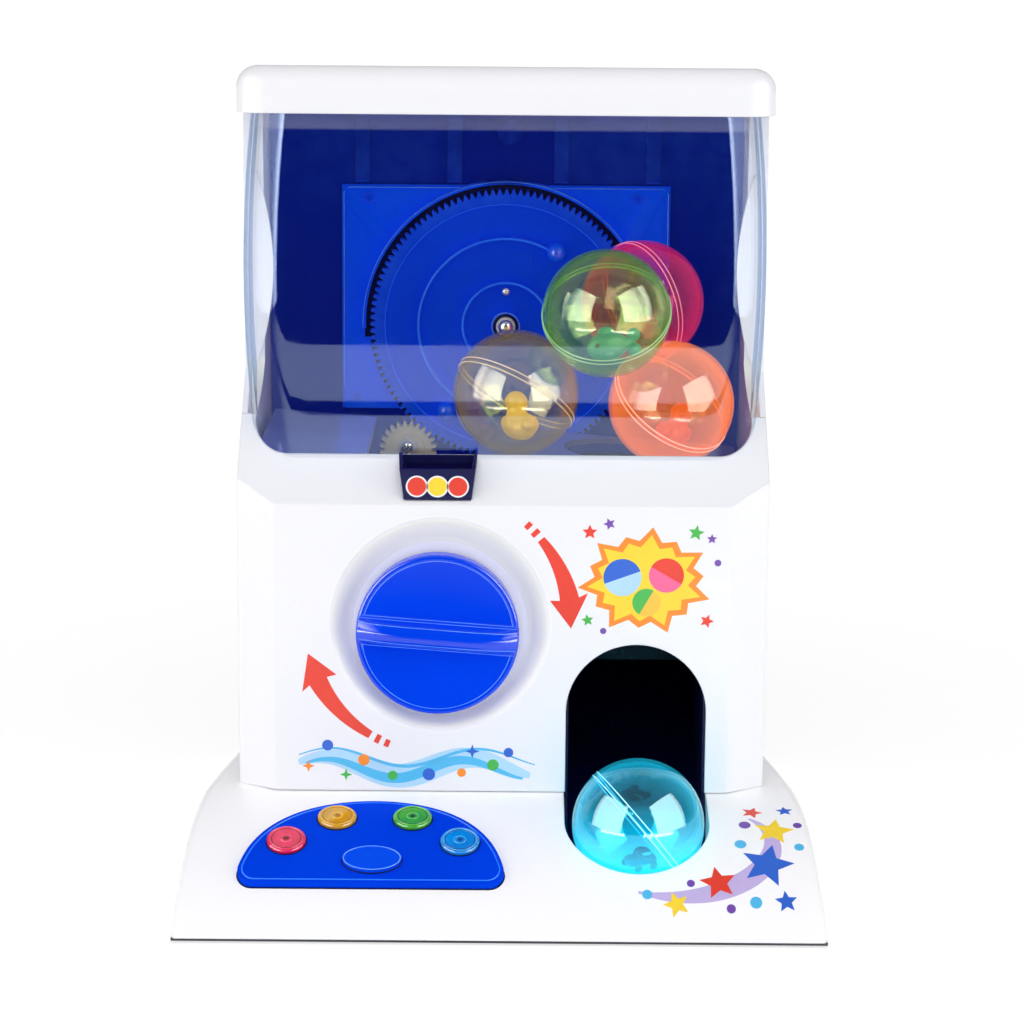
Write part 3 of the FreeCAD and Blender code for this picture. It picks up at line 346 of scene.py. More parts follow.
# painted light: a paler, warmer copy of the white housing plastic, lifting the shade and blue cast in the knob bowl;
# also used for the cheek tails
WHITE_SOFT = plastic("white_abs_bowl", srgb(245, 244, 234), rough=0.3, vary=0.002, blotch=2.2, edge=0.0, tint=srgb(245, 244, 234), spec=0.2, uneven=0.004, bump=0.02)
BLUE = plastic(
    "blue_abs", srgb(1, 62, 226), rough=0.22, vary=0.06, edge=0.0007, tint=srgb(1, 68, 232), spec=0.006,
)
KNOB = plastic(
    "knob_blue", srgb(1, 64, 232), rough=0.2, vary=0.05, edge=0.0004, tint=srgb(1, 70, 238), spec=0.01,
    edge_gloss=1.0, gloss_range=(0.038, 0.085), gloss_ior=1.6,
)
# painted highlight: a paler, glowing blue for thin lines along crests and edges of the knob, wheel hub, rail, pad and
# oval button
CREST_HIGHLIGHT = plastic("crest_highlight_blue", srgb(64, 128, 255), rough=0.2, vary=0.1, blotch=60.0, edge=0.0, tint=srgb(90, 150, 255), spec=0.4, glow=0.16)
# painted glow: the wheel pegs carry emission so they stand out bright
PEG_BLUE = plastic(
    "peg_blue", srgb(6, 88, 250), rough=0.16, vary=0.06, blotch=40.0, edge=0.0, tint=srgb(12, 98, 255), spec=0.5, coat=0.6, glow=0.24,
)
# painted highlight: paler, glowing blue for the crest lines on the wheel's ribs and tooth ring and for the half-moon's
# border lines
RIB_HIGHLIGHT = plastic(
    "rib_highlight_blue", srgb(20, 104, 255), rough=0.2, vary=0.08, blotch=40.0, edge=0.0, tint=srgb(34, 116, 255), spec=0.3, glow=0.34,
)
# painted glow (emission) lightens the wheel; its convex edges carry the painted edge highlight
WHEEL = plastic(
    "wheel_blue", srgb(2, 70, 238), rough=0.26, vary=0.06, edge=0.0004, tint=srgb(4, 76, 244), edge_sheen=0.30, spec=0.02, edge_gloss=0.3, glow=0.17,
)
# painted shade: the hopper wall turns dark navy where it is recessed behind the pad and above the pad under the lid's
# shadow; the wall also carries a painted glow (emission) and the painted edge highlight
PAINTED_SHADE = srgb(2, 28, 140)
WALL = plastic(
    "hopper_blue", srgb(4, 78, 246), rough=0.3, vary=0.06, edge=0.0006, tint=srgb(5, 84, 250), edge_sheen=0.14, spec=0.01, edge_gloss=0.05, glow=0.25,
    painted_shade_zones=(("Y", 0.0978, 0.1000, PAINTED_SHADE), ("Z", 0.2765, 0.2780, PAINTED_SHADE)),
)
FLOOR_BLUE = plastic("hopper_floor_blue", srgb(104, 116, 186), rough=0.2, vary=0.06, edge=0.0006, tint=srgb(112, 124, 194), edge_sheen=0.08, spec=0.5)
FUNNEL = plastic("funnel_navy", srgb(14, 9, 62), rough=0.24, vary=0.08, edge=0.0005, tint=srgb(18, 14, 76), edge_sheen=0.06, spec=0.25)
# painted shade: near-black navy for thin lines and sheets laid where gaps and recesses are in shadow
GAP_SHADE = plastic("gap_shade_navy", srgb(3, 12, 66), rough=0.5, vary=0.12, edge=0.0, tint=srgb(4, 10, 52), spec=0.1)
NAVY = plastic("navy_abs", srgb(16, 26, 104), rough=0.26, vary=0.08, edge=0.0006, tint=srgb(20, 34, 120), edge_sheen=0.08, spec=0.3)
# near-black navy for the capsule chute: its dark blue plastic, darkened further as painted shade for the inside of the
# arch
TUNNEL = plastic("tunnel_navy", srgb(4, 8, 44), rough=0.3, vary=0.1, edge=0.0006, tint=srgb(6, 12, 58), edge_sheen=0.06, spec=0.2)
IVORY = plastic("ivory_nylon", srgb(226, 216, 190), rough=0.36, vary=0.05, edge=0.0003, sss=0.15, tint=srgb(236, 226, 202))
BLACK = plastic("black_abs", srgb(26, 26, 30), rough=0.42, vary=0.12, edge=0.0004, tint=srgb(34, 34, 38), edge_sheen=0.1)
RUBBER = plastic("grey_rubber", srgb(52, 52, 54), rough=0.7, vary=0.12, edge=0.0004, grain=900.0, bump=0.15, tint=srgb(60, 60, 62))
BOARD = plastic("green_board", srgb(24, 92, 52), rough=0.4, vary=0.15, blotch=60.0, edge=0.0, tint=srgb(30, 108, 60))
LAMP = plastic("lamp_lens", srgb(235, 230, 210), rough=0.15, vary=0.05, edge=0.0002)
STEEL = steel("bright_steel")
CHROME = steel("nickel_screw", rough=0.14, col=(0.86, 0.85, 0.83), metal=1.0)
CELL = plastic("cell_jacket", srgb(70, 74, 80), rough=0.32, vary=0.2, blotch=60.0, edge=0.0003, metal=0.4)

WINDOW = clear(
    "window_clear", (0.975, 0.98, 0.99), (0.74, 0.78, 0.88), share=0.0010, streak=0.0006, rough=0.015, shine=(0.64, 0.78, 1.0),
    rim=(0.3105, 0.09), ripple=0.004, base=0.072, corner=(0.035, 0.075, 0.014), edge_tint=(0.30, 0.32, 0.38), edge_from=0.62,
)

# light left after both walls at the middle and at the rim, haze colour, haze share, haze share at the rim, painted glow
# (emission)
CAPS = {
    "yellow": ((0.96, 0.88, 0.48), (0.56, 0.40, 0.12), srgb(248, 212, 100), 0.010, 0.14, 0.22, (1.0, 0.97, 0.80)),
    "orange": ((1.00, 0.58, 0.26), (1.00, 0.36, 0.08), srgb(255, 148, 76), 0.105, 0.46, 0.90, (1.0, 0.86, 0.76)),
    "green": ((0.70, 0.92, 0.34), (0.14, 0.56, 0.16), srgb(140, 220, 84), 0.018, 0.20, 0.22, (0.92, 1.0, 0.80)),
    "magenta": ((1.00, 0.30, 0.60), (1.00, 0.05, 0.30), srgb(246, 60, 132), 0.040, 0.48, 0.56, (1.0, 0.80, 0.90)),
    "blue": ((0.12, 0.82, 0.96), (0.03, 0.58, 0.88), srgb(52, 224, 250), 0.006, 0.24, 0.76, (0.82, 1.0, 1.0)),
}
# painted light: a pool of haze low in the blue capsule, standing in for light from the white deck below
PAINTED_POOL = {"blue": (0.0350, 0.0130, 0.46)}
CAP_TOP, CAP_BASE, SEAM = {}, {}, {}
for cname, (mid, rimc, body, share, rim_share, glow, shine) in CAPS.items():
    CAP_TOP[cname] = clear(
        cname + "_capsule_plastic", tintpow(mid, 0.25), body, share=share, streak=share * 0.3, rough=0.015,
        glow=glow, edge_share=rim_share, edge_tint=tintpow(rimc, 0.25), base=0.055, ripple=0.008, shine=shine, pool=PAINTED_POOL.get(cname),
    )
    CAP_BASE[cname] = clear(
        cname + "_capsule_base_plastic", tintpow(mid, 0.28), body, share=share * 1.2, streak=share * 0.3, rough=0.015,
        glow=glow, edge_share=rim_share, edge_tint=tintpow(rimc, 0.28), base=0.055, ripple=0.008, shine=shine, pool=PAINTED_POOL.get(cname),
    )
    # the seam rings are real; their paler haze and extra glow are painted highlight
    SEAM[cname] = clear(
        cname + "_seam_plastic", tintpow(rimc, 0.3), tuple(0.6 * v + 0.4 for v in body), share=0.42, streak=0.08, rough=0.03,
        glow=glow + 0.25, edge_share=0.3, edge_tint=tintpow(rimc, 0.3), base=0.08,
    )

RED_B = jelly("red_button_plastic", srgb(226, 16, 84), srgb(204, 2, 58), glow=0.16)
YEL_B = jelly("yellow_button_plastic", srgb(222, 168, 0), srgb(200, 144, 0), glow=0.06)
GRN_B = jelly("green_button_plastic", srgb(74, 184, 20), srgb(50, 156, 14), glow=0.08)
BLU_B = jelly("blue_button_plastic", srgb(8, 144, 222), srgb(0, 112, 196), glow=0.12)
# painted highlight: paler, glowing jelly for the raised rings on each button's top
BEAD = {
    "red": jelly("red_bead_plastic", srgb(244, 76, 130), srgb(232, 44, 104), glow=0.14),
    "yellow": jelly("yellow_bead_plastic", srgb(244, 206, 50), srgb(232, 184, 20), glow=0.10),
    "green": jelly("green_bead_plastic", srgb(120, 212, 70), srgb(92, 192, 48), glow=0.10),
    "blue": jelly("blue_bead_plastic", srgb(72, 192, 244), srgb(36, 160, 230), glow=0.10),
}
OVL_B = plastic("oval_button_plastic", srgb(4, 74, 236), rough=0.2, vary=0.06, edge=0.0007, tint=srgb(6, 84, 242), spec=0.02)

# painted glow: most toys carry emission so they stand lit inside the dim capsules
TOY = {
    "yellow": plastic("toy_yellow", srgb(250, 206, 20), rough=0.3, vary=0.06, edge=0.0, blotch=60.0, glow=0.22),
    "orange": plastic("toy_orange", srgb(250, 110, 20), rough=0.3, vary=0.06, edge=0.0, blotch=60.0, glow=0.22),
    "red": plastic("toy_red", srgb(222, 40, 60), rough=0.3, vary=0.06, edge=0.0, blotch=60.0, glow=0.22),
    "teal": plastic("toy_teal", srgb(20, 150, 150), rough=0.3, vary=0.06, edge=0.0, blotch=60.0, glow=0.22),
    "pink": plastic("toy_pink", srgb(250, 120, 170), rough=0.3, vary=0.06, edge=0.0, blotch=60.0, glow=0.22),
    "white": plastic("toy_white", srgb(240, 240, 240), rough=0.3, vary=0.05, edge=0.0, blotch=60.0, glow=0.22),
    "aqua": plastic("toy_aqua", srgb(110, 214, 244), rough=0.3, vary=0.06, edge=0.0, blotch=60.0, glow=0.22),
    "navy": plastic("toy_navy", srgb(20, 96, 150), rough=0.3, vary=0.06, edge=0.0, blotch=60.0),
    "black": plastic("toy_black", srgb(20, 20, 24), rough=0.2, vary=0.1, edge=0.0, blotch=60.0),
}


def ink(name, col):
    return plastic("print_" + name, srgb(*col), rough=0.34, vary=0.05, blotch=70.0, grain=2600.0, bump=0.03, edge=0.0)


INK = {
    "red": ink("red", (232, 54, 30)),
    "orange": ink("orange", (250, 140, 24)),
    "yellow": ink("yellow", (254, 214, 40)),
    "green": ink("green", (62, 180, 72)),
    "cyan": ink("cyan", (74, 186, 236)),
    "pale": ink("pale_blue", (176, 218, 246)),
    "blue": ink("blue", (28, 96, 208)),
    "purple": ink("purple", (112, 66, 170)),
    "lilac": ink("lilac", (196, 178, 228)),
    "pink": ink("pink", (240, 98, 150)),
    "gold": ink("gold", (246, 196, 60)),
    "white": ink("white", (240, 240, 242)),
}


def dress(mat, *names):
    for nm in names:
        o = NODES[nm]
        o.data.materials.clear()
        o.data.materials.append(mat)


dress(WHITE, "lid", "front_housing", "rear_housing")
dress(WHITE_BASE, "base_tray")
dress(TUNNEL, "capsule_chute")
dress(FLOOR_BLUE, "hopper_floor")
dress(BLUE, "button_panel", "dispenser_gate")
dress(KNOB, "knob")
dress(WHEEL, "agitator_wheel", "back_plate_screws")
dress(WALL, "hopper_back_plate")
dress(FUNNEL, "coin_funnel")
dress(NAVY, "coin_chute")
dress(IVORY, "pinion_gear", "idler_gear", "knob_gear", "pinion_drive_gear", "knob_bush")
dress(
    STEEL,
    "bracket_screws",
    "pinion_bracket",
    "wheel_axle_screw",
    "wheel_washer",
    "housing_screws",
    "floor_screws",
    "knob_shaft",
    "pinion_shaft",
    "battery_contacts",
)
dress(BLACK, "base_floor_plate", "battery_door", "coin_plug", "battery_box", "power_switch", "power_switch_body", "speaker")
dress(RUBBER, "rubber_feet", "rubber_keypad")
dress(BOARD, "button_circuit_board", "main_board")
dress(LAMP, "button_lamps")
dress(CELL, "aa_cells")
dress(WINDOW, "hopper_window")
dress(RED_B, "red_button")
dress(YEL_B, "yellow_button")
dress(GRN_B, "green_button")
dress(BLU_B, "blue_button")
dress(OVL_B, "oval_button")
for cname in CAPS:
    dress(CAP_TOP[cname], cname + "_capsule_top")
    dress(CAP_BASE[cname], cname + "_capsule_bottom")
dress(TOY["aqua"], "blue_toy")
dress(TOY["yellow"], "prize_toys")


# ---------------------------------------------------------------- mesh helpers
def add(name, verts, faces, mat, body, smooth=True, scale=MM):
    me = bpy.data.meshes.new(name)
    me.from_pydata([tuple(c * scale for c in v) for v in verts], [], faces)
    me.validate()
    bm = bmesh.new()
    bm.from_mesh(me)
    bmesh.ops.recalc_face_normals(bm, faces=bm.faces)
    bm.to_mesh(me)
    bm.free()
    if smooth:
        for p in me.polygons:
            p.use_smooth = True
    me.materials.append(mat)
    o = bpy.data.objects.new(name, me)
    bpy.context.scene.collection.objects.link(o)
    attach(o, body)
    return o


def bake_modifiers(o):
    dg = bpy.context.evaluated_depsgraph_get()
    me = bpy.data.meshes.new_from_object(o.evaluated_get(dg))
    o.modifiers.clear()
    o.data = me


def slab(name, outlines, mat, body, place, cuts=0):
    """Thin print layer: each outline (list of 2-D points, mm) becomes a closed wafer that place() lays on a surface.
    place(u, v, h) gives the point at height h over the surface."""
    bm = bmesh.new()
    for pts in outlines:
        vs = [bm.verts.new((u, v, 0.0)) for u, v in pts]
        bm.faces.new(vs)
    bm.normal_update()
    bmesh.ops.triangulate(bm, faces=bm.faces[:], ngon_method="EAR_CLIP")
    for _ in range(cuts):
        long_edges = [e for e in bm.edges if e.calc_length() > 3.5]
        if not long_edges:
            break
        bmesh.ops.subdivide_edges(bm, edges=long_edges, cuts=1, use_grid_fill=False)
        bmesh.ops.triangulate(bm, faces=bm.faces[:])
    bm.normal_update()
    flip = [f for f in bm.faces if f.normal.z < 0]
    if flip:
        bmesh.ops.reverse_faces(bm, faces=flip)
    top = [v.co.copy() for v in bm.verts]
    bm.verts.index_update()
    faces = [[v.index for v in f.verts] for f in bm.faces]
    border = []
    for e in bm.edges:
        if len(e.link_faces) == 1:
            f = e.link_faces[0]
            a, b = e.verts
            idx = [v.index for v in f.verts]
            if idx[(idx.index(a.index) + 1) % len(idx)] != b.index:
                a, b = b, a
            border.append((a.index, b.index))
    bm.free()
    n = len(top)
    verts = [place(c.x, c.y, 1.0) for c in top] + [place(c.x, c.y, 0.0) for c in top]
    out = [f for f in faces] + [[i + n for i in reversed(f)] for f in faces]
    out += [[a, a + n, b + n, b] for a, b in border]
    return add(name, verts, out, mat, body, smooth=False)


PANEL_Y = -53.0


def on_panel(level):
    def place(u, v, h):
        return (u, PANEL_Y - (0.02 if h < 0.5 else 0.05 + 0.04 * level), v)

    return place


def deck_z(y):
    return 38.2 if y >= -41.54 else -103.5 + math.sqrt(141.7**2 - (y + 41.54) ** 2)


def on_deck(level):
    def place(u, v, h):
        lift = -0.05 if h < 0.5 else 0.05 + 0.04 * level
        if v >= -41.54:
            return (u, v, 38.2 + lift)
        s = (-41.54 - v) / 141.7
        c = math.sqrt(1 - s * s)
        return (u, -41.54 - (141.7 + lift) * s, -103.5 + (141.7 + lift) * c)

    return place


def star(cx, cy, r, inner=0.46, n=5, rot=90.0, sx=1.0, sy=1.0):
    pts = []
    for i in range(2 * n):
        a = math.radians(rot + 180.0 * i / n)
        q = r if i % 2 == 0 else r * inner
        pts.append((cx + q * math.cos(a) * sx, cy + q * math.sin(a) * sy))
    return pts


def disc(cx, cy, r, n=36, sx=1.0, sy=1.0, a0=0.0, a1=360.0):
    full = abs(a1 - a0) >= 360.0
    m = n if full else n + 1
    return [
        (
            cx + r * sx * math.cos(math.radians(a0 + (a1 - a0) * i / n)),
            cy + r * sy * math.sin(math.radians(a0 + (a1 - a0) * i / n)),
        )
        for i in range(m)
    ]


def band(centre, width):
    """Ribbon along a list of centre points; width(t) is its full width."""
    left, right = [], []
    m = len(centre)
    for i, (x, y) in enumerate(centre):
        x0, y0 = centre[max(0, i - 1)]
        x1, y1 = centre[min(m - 1, i + 1)]
        dx, dy = x1 - x0, y1 - y0
        q = math.hypot(dx, dy) or 1.0
        w = width(i / (m - 1)) / 2.0
        left.append((x - dy / q * w, y + dx / q * w))
        right.append((x + dy / q * w, y - dx / q * w))
    return left + right[::-1]


def tubes(name, loops, r, mat, body, n=8, closed=True):
    """Round beads along runs of points (mm), closed in a loop or capped at their ends."""
    verts, faces = [], []
    for pts in loops:
        pts = [Vector(q) for q in pts]
        m = len(pts)
        first = len(verts)
        mid = sum(pts, Vector()) / m
        for i, q in enumerate(pts):
            if closed:
                t = (pts[(i + 1) % m] - pts[i - 1]).normalized()
            else:
                t = (pts[min(i + 1, m - 1)] - pts[max(i - 1, 0)]).normalized()
            out = q - mid
            out = (out - t * out.dot(t)).normalized()
            up = t.cross(out)
            for j in range(n):
                a = 2 * math.pi * j / n
                verts.append(tuple(q + out * (r * math.cos(a)) + up * (r * math.sin(a))))
        if not closed:
            faces.append(tuple(first + j for j in range(n)))
            faces.append(tuple(first + (m - 1) * n + j for j in range(n)))
        for i in range(m if closed else m - 1):
            for j in range(n):
                a, b = first + i * n + j, first + i * n + (j + 1) % n
                c, d = first + ((i + 1) % m) * n + (j + 1) % n, first + ((i + 1) % m) * n + j
                faces.append((a, b, c, d))
    return add(name, verts, faces, mat, body)


def ring_points(centre, normal, r, n=48, rx=None):
    """Points of a circle (or an ellipse, rx along X) round a centre."""
    nz = Vector(normal).normalized()
    ex = Vector((1, 0, 0)) - nz * nz.x
    ex.normalize()
    ey = nz.cross(ex)
    c = Vector(centre)
    return [
        tuple(c + ex * ((rx or r) * math.cos(2 * math.pi * i / n)) + ey * (r * math.sin(2 * math.pi * i / n))) for i in range(n)
    ]


# ---------------------------------------------------------------- hopper window: one bulged moulding with rolled foot
def window():
    nv = 30

    def path(hw, yf, r, back=None):
        pts = []
        back = hw if back is None else back
        for i in range(8):
            pts.append((-hw + (hw - back) * (1.0 - i / 8.0) ** 1.6, 1.7 + (yf + r - 1.7) * i / 8.0))
        for i in range(12):
            a = math.radians(180 + 90 * i / 12.0)
            pts.append((-hw + r + r * math.cos(a), yf + r + r * math.sin(a)))
        for i in range(24):
            pts.append((-hw + r + (2 * hw - 2 * r) * i / 24.0, yf))
        for i in range(12):
            a = math.radians(270 + 90 * i / 12.0)
            pts.append((hw - r + r * math.cos(a), yf + r + r * math.sin(a)))
        for i in range(9):
            pts.append((hw + (back - hw) * (i / 8.0) ** 1.6, yf + r + (1.7 - yf - r) * i / 8.0))
        return pts

    def shape(z, inset):
        q = (z - 250.0) / 70.0
        hw = 108.0 - 4.0 * q * q
        yf = -36.6 + 1.6 * q * q
        return path(hw - inset, yf + inset, 18.0 - inset, max(hw, 104.6) - inset)

    base = path(106.0, -35.5, 17.0)
    cols = len(base)
    verts, faces = [], []
    for inset in (0.0, 2.0):
        for iv in range(nv + 1):
            v = iv / nv
            for j in range(cols):
                zb = 159.5 + 0.87 * (base[j][1] + 53.0) + 0.12
                z = zb + (321.8 - zb) * v
                x, y = shape(z, inset)[j]
                verts.append((x, y, z))
    lay = (nv + 1) * cols
    for iv in range(nv):
        for j in range(cols - 1):
            a = iv * cols + j
            faces.append((a, a + 1, a + cols + 1, a + cols))
            b = a + lay
            faces.append((b, b + cols, b + cols + 1, b + 1))
    for j in range(cols - 1):
        faces.append((j, j + lay, j + lay + 1, j + 1))
        t = nv * cols + j
        faces.append((t, t + 1, t + lay + 1, t + lay))
    for iv in range(nv):
        a = iv * cols
        faces.append((a, a + cols, a + cols + lay, a + lay))
        b = iv * cols + cols - 1
        faces.append((b, b + lay, b + cols + lay, b + cols))
    o = add("hopper_window_bulged", verts, faces, WINDOW, "cabinet")
    o.data.set_sharp_from_angle(angle=math.radians(50))
    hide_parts("hopper_window")
    return o


window()

# ---------------------------------------------------------------- printed figures on the panel and the deck
KX, KZ = -26.6, 110.0


def polar(r, a):
    return (KX + r * math.cos(math.radians(a)), KZ + r * math.sin(math.radians(a)))


def turn_arrow(a0, a1):
    """Plain curved arrow round the knob, from angle a0 to the tip at a1."""
    d = 1.0 if a1 > a0 else -1.0
    neck = a1 - d * 13.0
    outer, inner = [], []
    for i in range(19):
        t = i / 18.0
        a = a0 + (neck - a0) * t
        w = 3.4 + 4.6 * t
        outer.append(polar(55.2 + w / 2.0, a))
        inner.append(polar(55.2 - w / 2.0, a))
    head = [polar(55.2 + 8.0, neck - d * 1.0), polar(55.0, a1), polar(55.2 - 8.0, neck - d * 1.0)]
    return outer + head + inner[::-1]


def dash(a, wide, r0, r1):
    return [polar(r0, a - wide / 2), polar(r1, a - wide / 2), polar(r1, a + wide / 2), polar(r0, a + wide / 2)]


slab(
    "turn_arrows_print",
    [
        turn_arrow(40.0, -2.0),
        dash(43.6, 2.2, 53.4, 57.2),
        dash(48.0, 2.2, 53.8, 57.0),
        turn_arrow(240.0, 194.0),
        dash(243.6, 2.2, 53.4, 57.2),
        dash(248.0, 2.2, 53.8, 57.0),
    ],
    INK["red"],
    "cabinet",
    on_panel(0),
    cuts=2,
)


def burst(cx, cy, r0, r1, n, sx, sy, rot):
    pts = []
    for i in range(2 * n):
        a = math.radians(rot + 180.0 * i / n)
        q = r0 if i % 2 else r1 * (1.0 if (i // 2) % 2 else 0.86)
        pts.append((cx + q * sx * math.cos(a), cy + q * sy * math.sin(a)))
    return pts


BX, BZ = 58.6, 128.2
slab("burst_back_print", [burst(BX, BZ, 19.0, 25.4, 14, 1.10, 0.90, 7)], INK["orange"], "cabinet", on_panel(0))
slab("burst_front_print", [burst(BX, BZ, 16.0, 21.8, 14, 1.10, 0.90, 7)], INK["yellow"], "cabinet", on_panel(1))
slab(
    "burst_ball_blue_print",
    [disc(BX - 9.4, BZ + 1.6, 7.8, a0=20, a1=200)],
    INK["blue"],
    "cabinet",
    on_panel(2),
)
slab(
    "burst_ball_cyan_print",
    [disc(BX - 9.4, BZ + 1.6, 7.8, a0=200, a1=380)],
    INK["pale"],
    "cabinet",
    on_panel(2),
)
slab(
    "burst_ball_red_print",
    [disc(BX + 8.6, BZ + 2.6, 7.2, a0=-30, a1=150), star(BX - 23.0, BZ + 20.5, 3.2), star(BX + 25.5, BZ - 16.5, 3.0, rot=70)],
    INK["red"],
    "cabinet",
    on_panel(2),
)
slab(
    "burst_ball_white_print",
    [disc(BX + 8.6, BZ + 2.6, 7.2, a0=150, a1=330)],
    INK["pink"],
    "cabinet",
    on_panel(2),
)
slab(
    "burst_ball_green_print",
    [disc(BX + 0.6, BZ - 8.8, 5.8, a0=60, a1=240), star(BX + 20.5, BZ + 20.5, 3.4, rot=80), star(BX - 23.5, BZ - 16.5, 2.6, rot=100)],
    INK["green"],
    "cabinet",
    on_panel(2),
)
slab(
    "burst_ball_gold_print",
    [disc(BX + 0.6, BZ - 8.8, 5.8, a0=240, a1=420)],
    INK["gold"],
    "cabinet",
    on_panel(3),
)
slab(
    "burst_dots_print",
    [star(BX - 15.0, BZ + 24.0, 2.6, rot=110), disc(BX + 29.6, BZ + 8.0, 1.4), disc(BX - 17.0, BZ - 21.0, 1.3), star(BX + 27.0, BZ + 18.0, 2.2)],
    INK["purple"],
    "cabinet",
    on_panel(1),
)


def wave(x0, x1, z, amp, turns, phase, rise=0.0, n=60):
    return [
        (
            x0 + (x1 - x0) * i / n,
            z + rise * i / n + amp * math.sin(phase + 2 * math.pi * turns * i / n),
        )
        for i in range(n + 1)
    ]


slab(
    "wave_wide_print",
    [band(wave(-84.0, 12.0, 48.6, 4.0, 1.6, 0.4), lambda t: 2.4 + 8.0 * math.sin(math.pi * t) ** 0.8)],
    INK["pale"],
    "cabinet",
    on_panel(0),
    cuts=2,
)
slab(
    "wave_thin_print",
    [
        band(wave(-81.0, 9.0, 47.6, 4.0, 1.6, 0.6), lambda t: 1.0 + 3.4 * math.sin(math.pi * t)),
        band(wave(-84.0, 14.0, 52.6, 3.8, 1.6, 0.2), lambda t: 0.4 + 1.0 * math.sin(math.pi * t)),
    ],
    INK["cyan"],
    "cabinet",
    on_panel(1),
    cuts=2,
)
slab(
    "wave_dots_blue_print",
    [disc(-72.0, 57.6, 2.3), disc(-30.0, 45.4, 2.6), disc(3.0, 55.0, 2.0), star(-12.0, 55.4, 3.0, n=4, inner=0.36)],
    INK["blue"],
    "cabinet",
    on_panel(2),
)
slab(
    "wave_dots_warm_print",
    [disc(-57.0, 51.4, 2.4), disc(-16.4, 46.2, 1.8), star(-80.0, 48.6, 2.6, n=4, inner=0.36)],
    INK["orange"],
    "cabinet",
    on_panel(2),
)
slab(
    "wave_dots_green_print",
    [disc(-45.0, 44.8, 2.0), disc(-3.4, 49.6, 2.4), star(-64.4, 45.0, 2.6, n=4, inner=0.36)],
    INK["green"],
    "cabinet",
    on_panel(2),
)

# deck: a loose scatter to the right of the well
slab(
    "deck_sweep_print",
    [
        band(
            [(70.0 + 40.0 * math.cos(math.radians(a)), -92.0 + 27.0 * math.sin(math.radians(a))) for a in range(-112, 40, 5)],
            lambda t: 1.0 + 8.0 * math.sin(math.pi * t),
        )
    ],
    INK["lilac"],
    "cabinet",
    on_deck(0),
    cuts=4,
)
slab(
    "deck_star_yellow_print",
    [star(111.0, -84.0, 8.4, rot=80), star(70.0, -122.0, 5.4, rot=110)],
    INK["yellow"],
    "cabinet",
    on_deck(1),
    cuts=4,
)
slab(
    "deck_star_red_print",
    [star(87.0, -112.5, 7.6, rot=100), star(103.0, -70.5, 4.4, rot=70)],
    INK["red"],
    "cabinet",
    on_deck(1),
    cuts=4,
)
slab(
    "deck_star_blue_print",
    [star(107.0, -103.5, 11.0, rot=75), star(113.5, -120.5, 4.6, rot=95), star(116.5, -69.0, 3.6, rot=95)],
    INK["blue"],
    "cabinet",
    on_deck(1),
    cuts=4,
)
slab(
    "deck_dots_cyan_print",
    [disc(97.0, -92.5, 2.4), disc(120.6, -94.0, 2.0), disc(101.5, -121.0, 2.4), disc(58.5, -118.0, 2.0)],
    INK["cyan"],
    "cabinet",
    on_deck(1),
    cuts=4,
)
slab(
    "deck_dots_purple_print",
    [disc(99.5, -80.0, 2.4), disc(91.5, -123.6, 1.8), disc(121.0, -80.0, 1.8), disc(76.0, -113.0, 1.6)],
    INK["purple"],
    "cabinet",
    on_deck(1),
    cuts=4,
)

# ---------------------------------------------------------------- button centres and panel trims
DECK_C = Vector((0.0, -41.54, -103.5))


def button_frame(x, phi, lift):
    """Point lift mm over the half-moon panel's surface, with its normal and the two directions along it."""
    s, c = math.sin(math.radians(phi)), math.cos(math.radians(phi))
    r = 143.7 + lift
    return (
        Vector((x, -41.54 - r * s, -103.5 + r * c)),
        Vector((1, 0, 0)),
        Vector((0, c, s)),
        Vector((0, -s, c)),
    )


def revolve(name, profile, at, ex, ey, ez, mat, body, n=40, sx=1.0, sy=1.0):
    """Closed turned piece: profile is (radius, height) from the axis out and back to the axis."""
    verts, faces = [], []
    rings = []
    for r, h in profile:
        if r < 1e-6:
            rings.append([len(verts)])
            verts.append(tuple(at + ez * h))
        else:
            ring = []
            for i in range(n):
                a = 2 * math.pi * i / n
                ring.append(len(verts))
                verts.append(tuple(at + ex * (r * sx * math.cos(a)) + ey * (r * sy * math.sin(a)) + ez * h))
            rings.append(ring)
    for a, b in zip(rings[:-1], rings[1:]):
        for i in range(n):
            j = (i + 1) % n
            if len(a) == 1 and len(b) > 1:
                faces.append((a[0], b[i], b[j]))
            elif len(b) == 1 and len(a) > 1:
                faces.append((a[i], b[0], a[j]))
            elif len(a) > 1 and len(b) > 1:
                faces.append((a[i], b[i], b[j], a[j]))
    o = add(name, verts, faces, mat, body)
    o.data.set_sharp_from_angle(angle=math.radians(38))
    return o


